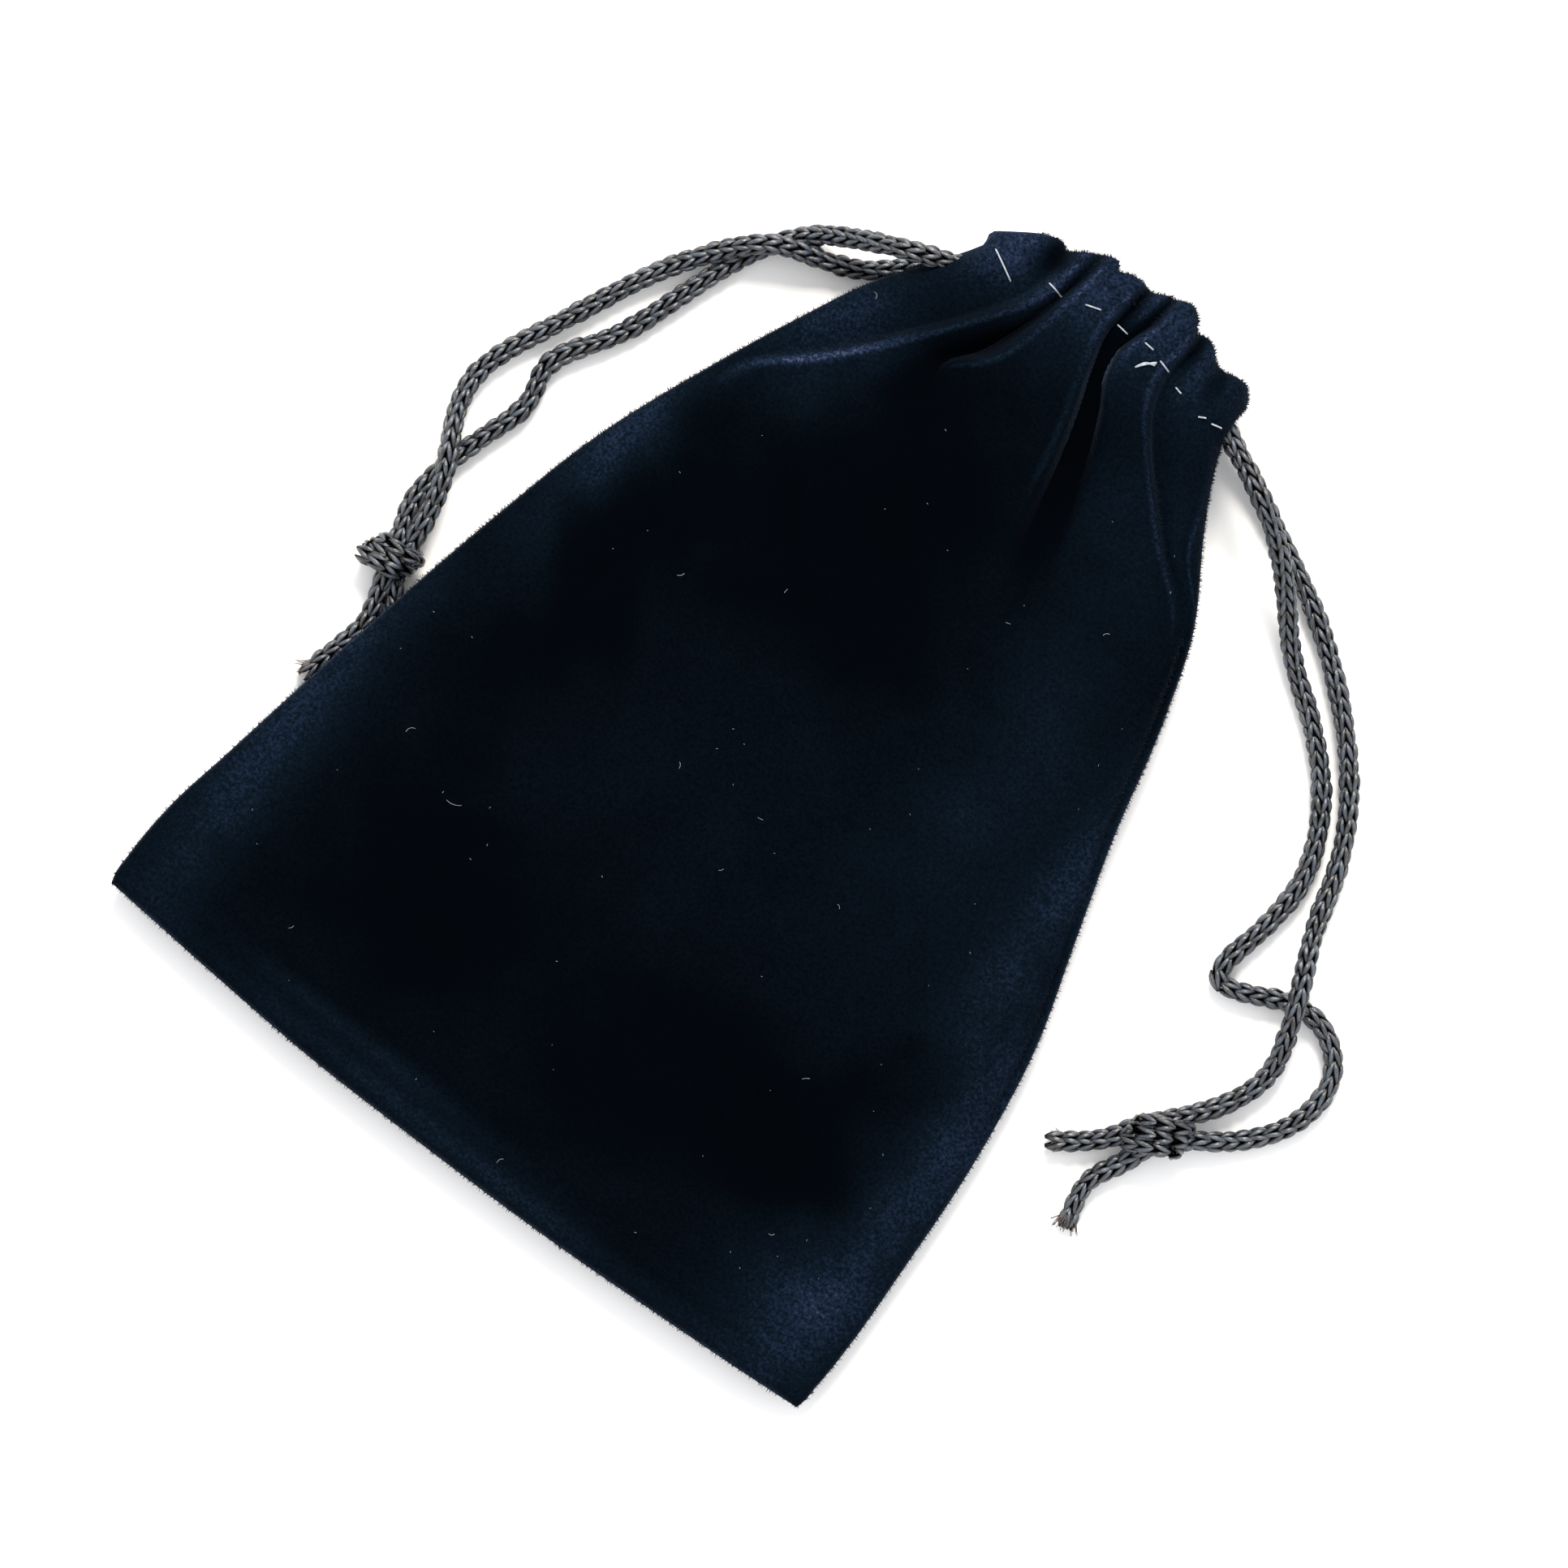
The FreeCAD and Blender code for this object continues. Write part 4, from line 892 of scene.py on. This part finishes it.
def velvet_side(front):
    """One side of the pouch from its foot to its mouth, then round the lip and down inside as the hem."""
    across, up = velvet_grid()
    flip = 1 if front else -1
    rows, crest_light_rows, sheen_shade_rows, pleat_rows = [], [], [], []
    foot = smooth_through(FOOT, spread(across, *smooth_outline(CORNER_LEVEL))) - FOOT_LEVEL
    mouth = smooth_through(MOUTH, spread(across, *smooth_outline(NECK_LEVEL)))
    for share in up:
        y = foot + share * (mouth - LIP - foot)
        left, right = smooth_outline(y)
        x = spread(across, left, right)
        seam = smooth_through(SEAM_HEIGHT, y)
        if front:
            z, pleats = front_surface(x, y, foot)
        else:
            height, pleats = front_surface(left + right - x, y, foot)
            height = np.maximum((height - seam) * roll(y - foot + 0.02, 1.6), 0)
            z = seam - height * (seam - 0.1) / max(height.max(), 0.1)
        rows.append(np.stack([x, y, z], -1))
        pleat_rows.append(pleats * flip)
        crest_light_rows.append(open_pile(x, y))
        # Painted shade: the nap's tone falls towards black down in the pleats' valleys.
        sheen_shade_rows.append(nap_sheen_and_shade(x, y) * (0.10 + 0.90 * ease((pleats + 2.4) / 2.2)))
    sheet = np.array(rows)
    steep = np.gradient(np.array(pleat_rows), axis=1) / np.gradient(sheet[:, :, 0], axis=1)
    # Steep pleats lean over, so that their sides overhang a little
    lean = ease((sheet[:, :, 1] - 26) / 18)
    lean = lean * (1 - np.abs(across)[None, :] ** 8) * (1 - 0.8 * ease((sheet[:, :, 1] - 57) / 6))
    sheet[:, :, 0] -= np.clip(steep * flip, -2.0, 2.0) * LEAN * lean
    last = sheet[-1]
    lip = np.clip((last[:, 2] - MOUTH_MIDDLE) * flip / 2 - 0.1, 0.5, LIP)
    middle_z = last[:, 2] - flip * lip
    turned = []
    for angle in np.linspace(0, math.pi, MOUTH_ROWS + 1)[1:]:
        turned.append(np.stack([
            last[:, 0], last[:, 1] + LIP * math.sin(angle), middle_z + flip * lip * math.cos(angle)
        ], -1))
    for down in np.linspace(0, HEM_DEPTH, HEM_ROWS + 1)[1:]:
        turned.append(np.stack([last[:, 0], last[:, 1] - down, middle_z - flip * lip], -1))
    extra = len(turned)
    return (
        np.concatenate([sheet, np.array(turned)]), np.array(crest_light_rows + [crest_light_rows[-1] * 0] * extra),
        np.array(sheen_shade_rows + [sheen_shade_rows[-1]] * extra),
    )


# Painted highlight along each sharp fold's crest, where the pile also splays open: pleat number, then Y
# and amount
CREST_HIGHLIGHT_RUNS = {
    2: [(67, 0.1), (62, 0.4), (54, 0.4), (46, 0.5), (38, 0.8), (33, 0.9), (28, 0.4), (24, 0.0)],
    4: [(67, 0.1), (62, 0.4), (52, 0.4), (47, 0.6), (45, 0.5), (43, 0.0), (24, 0.0)],
    6: [(67, 0.2), (60, 0.3), (50, 0.4), (40, 0.3), (36, 0.0), (24, 0.0)],
    10: [(67, 0.2), (60, 0.4), (55, 0.3), (50, 0.0), (24, 0.0)],
    12: [(67, 0.1), (60, 0.4), (54, 0.6), (48, 0.5), (40, 0.6), (37, 0.5), (34, 0.0), (24, 0.0)],
    16: [(67, 0.1), (52, 0.1), (46, 0.4), (40, 0.5), (36, 0.2), (32, 0.0), (24, 0.0)],
}
# Patches of painted sheen, mostly where the cloth turns away: X, Y, reach across, reach along, and amount
PAINTED_SHEEN = [
    (25, 12, 11, 24, 0.12), (27, 15, 6, 6, 0.08), (24, 3, 5, 4, 0.06), (47, -32, 5, 28, 0.34),
    (43, -56, 8, 10, 0.24), (39, 2, 4, 32, 0.24), (0, -65, 46, 2.0, 0.24), (-46, -36, 4.5, 28, 0.38),
    (-36, 18, 4.5, 18, 0.34), (-24, 40, 9, 9, 0.36), (0, 62, 24, 8, 0.50), (-13, 60, 5, 6, 0.14),
    (20, 44, 9, 9, 0.12), (-16, -61.5, 16, 1.2, 0.18), (-2, -10, 15, 12, 0.05),
]
# Painted shade, where it lies flat and is drawn deep black: X, Y, reach across, reach along, and the
# share of tone it takes
PAINTED_SHADE = [
    (-6, 30, 14, 14, 0.9), (-5, 17, 20, 13, 0.9), (-27, 2, 7, 20, 0.85), (-30, -22, 6, 14, 0.5),
    (-22, -42, 15, 13, 0.8), (12, -44, 17, 14, 0.8), (30, -39, 12, 10, 0.9), (36, -27, 6, 6, 0.6),
]
RESTING_NAP = 0.075


def open_pile(x, y):
    """Painted highlight across one row, along the sharp crests of folds, where the pile also splays open.
    """
    amount = np.zeros_like(x)
    for number, run in CREST_HIGHLIGHT_RUNS.items():
        crest = smooth_through(column(FRONT_PLEATS[number], 1), y)
        width = 0.24 + 0.026 * np.maximum(0.0, 52 - y) * (number == 2)
        amount += np.clip(smooth_through(run, y), 0, 1) * ridge(x, crest, width)
    return amount * ease((y - 24) / 3)


def nap_sheen_and_shade(x, y):
    """The nap's painted sheen and painted shade for one row, over an even resting tone."""
    tone = np.full_like(x, RESTING_NAP)
    for place_x, place_y, wide, long, amount in PAINTED_SHEEN:
        tone += amount * np.exp(-(((x - place_x) / wide) ** 2 + ((y - place_y) / long) ** 2))
    # The patches of painted shade have ragged edges
    wave_x = x + 1.6 * np.sin(y / 3.1 + 0.5) + 1.1 * np.sin((x + y) / 1.9)
    wave_y = y + 1.5 * np.sin(x / 3.7) + 1.0 * np.sin((x - 2 * y) / 2.7)
    for place_x, place_y, wide, long, amount in PAINTED_SHADE:
        away = ((wave_x - place_x) / wide) ** 2 + ((wave_y - place_y) / long) ** 2
        tone *= 1 - amount * np.exp(-away ** 2)
    return tone


def cut_velvet():
    """Black cotton velvet: deep black face on, paler and bluer where the pile is seen from its side."""
    material, tree, shader = new_material("black_cut_pile_velvet")
    place = add(tree, "ShaderNodeTexCoord")
    brushed = add(
        tree, "ShaderNodeTexNoise",
        values={"Scale": 48.0, "Detail": 6.0, "Roughness": 0.66, "Distortion": 0.4},
        links={"Vector": place.outputs["Object"]},
    )
    tuft = add(
        tree, "ShaderNodeTexNoise",
        values={"Scale": 2400.0, "Detail": 2.0, "Roughness": 0.7},
        links={"Vector": place.outputs["Object"]},
    )
    # Painted highlight along the fold crests, and painted sheen and shade over the nap, read as two
    # attributes
    crest = add(tree, "ShaderNodeAttribute", {"attribute_name": "open_pile"})
    nap = add(tree, "ShaderNodeAttribute", {"attribute_name": "stroked_nap"})
    uneven = add(
        tree, "ShaderNodeMapRange",
        values={"From Min": 0.36, "From Max": 0.64, "To Min": 0.78, "To Max": 1.22},
        links={"Value": brushed.outputs["Fac"]},
    )
    # Painted sheen and painted shade of the nap, made uneven by the brushed noise
    uneven_sheen_shade = add(
        tree, "ShaderNodeMath", {"operation": "MULTIPLY"},
        links={0: nap.outputs["Fac"], 1: uneven.outputs["Result"]},
    )
    drift = add(
        tree, "ShaderNodeMapRange",
        values={"From Min": 0.46, "From Max": 0.62, "To Min": 0.0, "To Max": 0.012},
        links={"Value": brushed.outputs["Fac"]},
    )
    lifted = add(
        tree, "ShaderNodeMath", {"operation": "ADD"},
        links={0: uneven_sheen_shade.outputs[0], 1: drift.outputs["Result"]},
    )
    tone_and_crest_light = add(
        tree, "ShaderNodeMath", {"operation": "MULTIPLY_ADD"}, {1: 0.55},
        {0: crest.outputs["Fac"], 2: lifted.outputs[0]},
    )
    grain = add(
        tree, "ShaderNodeMapRange",
        values={"From Min": 0.3, "From Max": 0.7, "To Min": 0.45, "To Max": 1.55},
        links={"Value": tuft.outputs["Fac"]},
    )
    grained = add(
        tree, "ShaderNodeMath", {"operation": "MULTIPLY", "use_clamp": True},
        links={0: tone_and_crest_light.outputs[0], 1: grain.outputs["Result"]},
    )
    tone = add(tree, "ShaderNodeValToRGB", links={"Fac": grained.outputs[0]})
    ramp = tone.color_ramp
    ramp.elements[0].color = linear("#000103")
    ramp.elements[1].color = linear("#333c50")
    ramp.elements.new(0.35).color = linear("#060f18")
    ramp.elements.new(0.70).color = linear("#161f31")
    tree.links.new(tone.outputs["Color"], shader.inputs["Base Color"])
    relief = add(
        tree, "ShaderNodeBump", values={"Strength": 0.45, "Distance": 0.00025},
        links={"Height": tuft.outputs["Fac"]},
    )
    tree.links.new(relief.outputs["Normal"], shader.inputs["Normal"])
    shader.inputs["Roughness"].default_value = 1.0
    shader.inputs["Specular IOR Level"].default_value = 0.02
    shader.inputs["Sheen Weight"].default_value = 0.12
    shader.inputs["Sheen Roughness"].default_value = 0.30
    shader.inputs["Sheen Tint"].default_value = linear("#7f93b8")
    return material


velvet = cut_velvet()
CLOTH = 0.6 * MM
panels = {}
for side, front in (("front", True), ("back", False)):
    sheet, crest_light_amount, sheen_shade_amount = velvet_side(front)
    mesh = grid_mesh(f"{side}_velvet", sheet, front)
    # The painted crest highlight and the painted sheen and shade, kept on the mesh for the velvet's
    # colour
    for label, amount in (("open_pile", crest_light_amount), ("stroked_nap", sheen_shade_amount)):
        tone = mesh.attributes.new(label, "FLOAT", "POINT")
        tone.data.foreach_set("value", amount.reshape(-1).astype(np.float32))
    mesh.materials.append(velvet)
    piece = mesh_object(f"{side}_velvet", mesh)
    wall = piece.modifiers.new("wall", "SOLIDIFY")
    wall.thickness = CLOTH
    wall.offset = -1
    panels[side] = baked(piece, f"{side}_velvet")
    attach(panels[side], "bag")
    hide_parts(f"{side}_panel", f"{side}_casing")

# ================================================================ the standing pile
# Where the velvet turns away at the pouch's outer edges its pile stands out as a short fuzz. It is cotton
# like the cloth, and each tuft is rooted in the weave.
PILE_LENGTH = 0.42 * MM
PILE_OUTSIDE = 17.5 * MM
PILE_ABOVE = 62.5 * MM
PILE_BELOW = 0.0


def pile_tree():
    """Geometry Nodes that stand pile tufts on the turned outer edges of the velvet."""
    tree, given = new_tree("standing_pile", {
        "Tufts per Square Metre": ("Float", 9.0e6), "Pile Length": ("Float", PILE_LENGTH),
        "Edge Slope": ("Float", 0.5), "Seed": ("Int", 4),
    })
    normal = add(tree, "GeometryNodeInputNormal")
    parts = add(tree, "ShaderNodeSeparateXYZ", links={0: normal.outputs["Normal"]})
    tilt = add(tree, "ShaderNodeMath", {"operation": "ABSOLUTE"}, links={0: parts.outputs["Z"]})
    steep = add(
        tree, "FunctionNodeCompare", {"data_type": "FLOAT", "operation": "LESS_THAN"},
        links={"A": tilt.outputs[0], "B": given["Edge Slope"]},
    )
    place = add(tree, "GeometryNodeInputPosition")
    sides = add(tree, "ShaderNodeSeparateXYZ", links={0: place.outputs["Position"]})
    from_middle = add(tree, "ShaderNodeMath", {"operation": "ABSOLUTE"}, links={0: sides.outputs["X"]})
    outer = add(
        tree, "FunctionNodeCompare", {"data_type": "FLOAT", "operation": "GREATER_THAN"},
        {"B": PILE_OUTSIDE}, {"A": from_middle.outputs[0]},
    )
    above = add(
        tree, "FunctionNodeCompare", {"data_type": "FLOAT", "operation": "GREATER_THAN"},
        {"B": PILE_ABOVE}, {"A": sides.outputs["Y"]},
    )
    below = add(
        tree, "FunctionNodeCompare", {"data_type": "FLOAT", "operation": "LESS_THAN"},
        {"B": PILE_BELOW}, {"A": sides.outputs["Y"]},
    )
    either = add(
        tree, "FunctionNodeBooleanMath", {"operation": "OR"},
        links={0: above.outputs["Result"], 1: below.outputs["Result"]},
    )
    rim = add(
        tree, "FunctionNodeBooleanMath", {"operation": "OR"},
        links={0: either.outputs[0], 1: outer.outputs["Result"]},
    )
    chosen = add(
        tree, "FunctionNodeBooleanMath", {"operation": "AND"},
        links={0: rim.outputs[0], 1: steep.outputs["Result"]},
    )
    spots = add(
        tree, "GeometryNodeDistributePointsOnFaces", {"distribute_method": "RANDOM"},
        links={
            "Mesh": given["Geometry"], "Selection": chosen.outputs[0],
            "Density": given["Tufts per Square Metre"], "Seed": given["Seed"],
        },
    )
    tuft = add(
        tree, "GeometryNodeMeshCone", {"fill_type": "NONE"},
        {"Vertices": 3, "Radius Top": 0.012 * MM, "Radius Bottom": 0.055 * MM},
        {"Depth": given["Pile Length"]},
    )
    lean = add(
        tree, "FunctionNodeRandomValue", {"data_type": "FLOAT_VECTOR"},
        {"Min": (-0.7, -0.7, -3.1), "Max": (0.7, 0.7, 3.1)}, {"Seed": given["Seed"]},
    )
    turned = add(
        tree, "FunctionNodeRotateRotation", {"rotation_space": "LOCAL"},
        links={"Rotation": spots.outputs["Rotation"], "Rotate By": lean.outputs["Value"]},
    )
    size = add(
        tree, "FunctionNodeRandomValue", {"data_type": "FLOAT"}, {"Min": 0.6, "Max": 1.25},
        {"Seed": given["Seed"]},
    )
    tufts = add(
        tree, "GeometryNodeInstanceOnPoints",
        links={
            "Points": spots.outputs["Points"], "Instance": tuft.outputs["Mesh"],
            "Rotation": turned.outputs["Rotation"], "Scale": size.outputs[1],
        },
    )
    return end_tree(tree, tufts.outputs["Instances"], given["Material"])


pile_nodes = pile_tree()
# Single cotton tufts: matt, mottled between black and dark blue-grey
pile_tufts = mottled("cotton_pile_tuft", 3000.0, 1.0, "#030508", "#1b222c", roughness=1.0, specular=0.05)
for side, panel in panels.items():
    holder = mesh_object("pile_base", panel.data.copy())
    modifier = holder.modifiers.new("pile", "NODES")
    modifier.node_group = pile_nodes
    give(modifier, Seed=4 if side == "front" else 9, Material=pile_tufts)
    pile = baked(holder, f"{side}_velvet_pile")
    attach(pile, "bag")

# ================================================================ the sewing
# Polyester thread. Grey lockstitches hold the hems down as the casings, and show on the velvet as a few
# long dashes where the pile parts. The black side and foot seams are sewn inside, just within the edge.
THREAD = 0.34 * MM
# Spun polyester of two plies twisted together, shown as a plain round thread, matt and mottled between
# two tones
casing_thread = mottled("grey_spun_polyester", 2400.0, 2.0, "#4d545c", "#b9c0c6")
seam_thread = mottled("black_spun_polyester", 2400.0, 2.0, "#0c0d0f", "#24262a")


def sewing_tree():
    """Geometry Nodes that make each edge path a round stitch of thread."""
    tree, given = new_tree("sewing", {"Thread Radius": ("Float", THREAD / 2)})
    path = add(tree, "GeometryNodeMeshToCurve", links={"Mesh": given["Geometry"]})
    ring = add(
        tree, "GeometryNodeCurvePrimitiveCircle", values={"Resolution": 7},
        links={"Radius": given["Thread Radius"]},
    )
    tube = add(
        tree, "GeometryNodeCurveToMesh", values={"Fill Caps": True},
        links={"Curve": path.outputs["Curve"], "Profile Curve": ring.outputs["Curve"]},
    )
    return end_tree(tree, tube.outputs["Mesh"], given["Material"])


sewing = sewing_tree()


def sewn(name, stitches, material, radius=THREAD / 2):
    """One piece made of many short stitches, each a list of points."""
    points = []
    edges = []
    for stitch in stitches:
        first = len(points)
        points += [tuple(p) for p in stitch]
        edges += [(first + i, first + i + 1) for i in range(len(stitch) - 1)]
    mesh = bpy.data.meshes.new("stitch_paths")
    mesh.from_pydata(points, edges, [])
    holder = mesh_object("stitch_paths", mesh)
    modifier = holder.modifiers.new("sewing", "NODES")
    modifier.node_group = sewing
    give(modifier, Thread_Radius=radius, Material=material)
    piece = baked(holder, name)
    piece.data.shade_smooth()
    return piece


def on_velvet(side, x, y, stand):
    """The place a little proud of a panel's outer face. Millimetres in, metres out."""
    front = side == "front"
    start = Vector((x * MM, y * MM, 0.1 if front else -0.1))
    hit, place, _normal, _face = panels[side].ray_cast(start, Vector((0, 0, -1 if front else 1)))
    height = place.z if hit else MOUTH_MIDDLE * MM
    return Vector((x * MM, y * MM, height + stand * MM * (1 if front else -1)))


def lockstitch(side, start, end, stand=0.16):
    """A stitch that lies on the velvet and goes down into it at both ends."""
    stitch = []
    for k in range(9):
        t = k / 8
        x = start[0] + (end[0] - start[0]) * t
        y = start[1] + (end[1] - start[1]) * t
        sink = 0.5 if k in (0, 8) else 0.0
        stitch.append(on_velvet(side, x, y, stand - sink))
    return stitch


# Start and end of each stitch that shows on the front
SHOWN_STITCHES = [
    ((-14.3, 58.0), (-10.1, 55.8)), ((-6.7, 58.5), (-4.4, 58.1)), ((-1.8, 59.0), (0.2, 59.7)),
    ((2.6, 59.6), (4.4, 59.4)), ((6.5, 59.8), (7.9, 59.7)), ((9.2, 59.2), (10.9, 58.8)),
    ((12.6, 57.9), (13.6, 57.7)), ((16.8, 56.8), (17.7, 57.3)), ((18.5, 57.1), (19.9, 57.5)),
]
BACK_STITCHES = []
for x in range(-12, 18, 3):
    start = (x, 57.0 + 2.4 * math.cos((x - 3.3) / 14))
    end = (x + 2.0, 57.0 + 2.4 * math.cos((x - 1.3) / 14))
    BACK_STITCHES.append((start, end))
for side, shown, thickness in (("front", SHOWN_STITCHES, 0.30), ("back", BACK_STITCHES, 0.5)):
    stitches = [lockstitch(side, start, end) for start, end in shown]
    if side == "front":
        # A little fluff of broken thread beside the main pleat
        draws = np.random.default_rng(8)
        for _ in range(5):
            bend = draws.uniform(-0.7, 0.7, 8)
            strand = []
            for t in np.linspace(0, 1, 10):
                x = 7.4 + 1.7 * t + bend[0] * math.sin(3 * t) * 0.5
                y = 56.8 + 1.8 * t + bend[1] * math.sin(4 * t) * 0.5
                stand = 0.15 + 0.35 * abs(bend[2]) * math.sin(math.pi * t)
                strand.append(on_velvet("front", x, y, stand))
            stitches.append(strand)
    piece = sewn(f"{side}_casing_stitches", stitches, casing_thread, THREAD * thickness)
    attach(piece, "bag")
    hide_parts(f"{side}_casing_stitching")

SEAM_STITCH = 2.3
SEAM_INSET = 1.3
FOOT_SEAM_HEIGHT = 3.4


def seam_stitches(places):
    """Stitches end to end along a seam, with a short gap where each goes down."""
    stitches = []
    for first, last in zip(places, places[1:]):
        stitches.append([first.lerp(last, t) for t in (0.04, 0.3, 0.6, 0.9)])
    return stitches


for side in ("left", "right"):
    places = []
    for level in np.arange(-62.5, 54.0, SEAM_STITCH):
        left, right = smooth_outline(level)
        x = left + SEAM_INSET if side == "left" else right - SEAM_INSET
        height = smooth_through(SEAM_HEIGHT, level) - 0.3 - 1.2 * ease((level - 24) / 8)
        places.append(Vector((x, level, height)) * MM)
    piece = sewn(f"{side}_seam_stitches", seam_stitches(places), seam_thread)
    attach(piece, "bag")
    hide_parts(f"{side}_seam_thread")
places = [
    Vector((x, smooth_through(FOOT, x) - FOOT_LEVEL + SEAM_INSET, FOOT_SEAM_HEIGHT)) * MM
    for x in np.arange(-46.5, 46.6, SEAM_STITCH)
]
piece = sewn("foot_seam_stitches", seam_stitches(places), seam_thread)
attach(piece, "bag")
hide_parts("bottom_seam_thread")

# ================================================================ lint
# Pale cotton fibres and crumbs of dust on the front, where they show against the black.
LINT = 0.055 * MM
LINT_STAND = 0.10
# Middle, length and direction of the larger fibres
FIBRES = [
    (-24.7, -32.6, 1.9, 0.3), (-34, -29, 1.2, 1.0), (-20, 5, 0.9, 0.9), (-6.4, -12.9, 0.8, 2.1),
    (5, -12, 0.7, 0.2), (5, -19.6, 0.6, 0.9), (28, -33, 0.9, 0.7), (18.6, -14.6, 0.6, 2.6),
    (5.4, -62.8, 0.9, 1.2), (24, 30, 0.8, 0.8), (-22, 45, 0.8, 2.4), (-9, 11, 0.6, 1.5),
    (36, -50, 0.7, 0.6), (-31, -56, 0.7, 1.1), (14, 24, 0.6, 0.3),
]
draws = np.random.default_rng(12)
fibres = []
for x, y, long, turn in FIBRES:
    curl = draws.uniform(-0.5, 0.5)
    fibre = []
    for t in np.linspace(-0.5, 0.5, 8):
        along, aside = long * t, curl * long * (0.25 - t * t) * 2
        fibre.append(on_velvet(
            "front", x + along * math.cos(turn) - aside * math.sin(turn),
            y + along * math.sin(turn) + aside * math.cos(turn), LINT_STAND,
        ))
    fibres.append(fibre)
for _ in range(60):
    x, y = draws.uniform(-44, 44), draws.uniform(-62, 52)
    left, right = smooth_outline(y)
    if left + 3 < x < right - 3:
        long = draws.uniform(0.08, 0.26)
        turn = draws.uniform(0, math.pi)
        fibres.append([
            on_velvet("front", x + long * t * math.cos(turn), y + long * t * math.sin(turn), LINT_STAND)
            for t in (-0.5, 0.0, 0.5)
        ])
cotton = mottled("pale_cotton_lint", 2400.0, 2.0, "#3a4047", "#8f9599")
lint = sewn("lint", fibres, cotton, LINT / 2)
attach(lint, "bag")

# ================================================================ finish
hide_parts("left_front_strand", "left_front_lead", "left_long_tail")
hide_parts("left_back_strand", "left_back_lead", "left_short_tail")
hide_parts("right_front_strand", "right_front_lead", "right_long_tail")
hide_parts("right_back_strand", "right_back_lead", "right_short_tail")
for name, piece in cords.items():
    side, level = name.split("_")
    pivot = swivel(side, level)
    out = outward(side)
    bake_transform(piece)
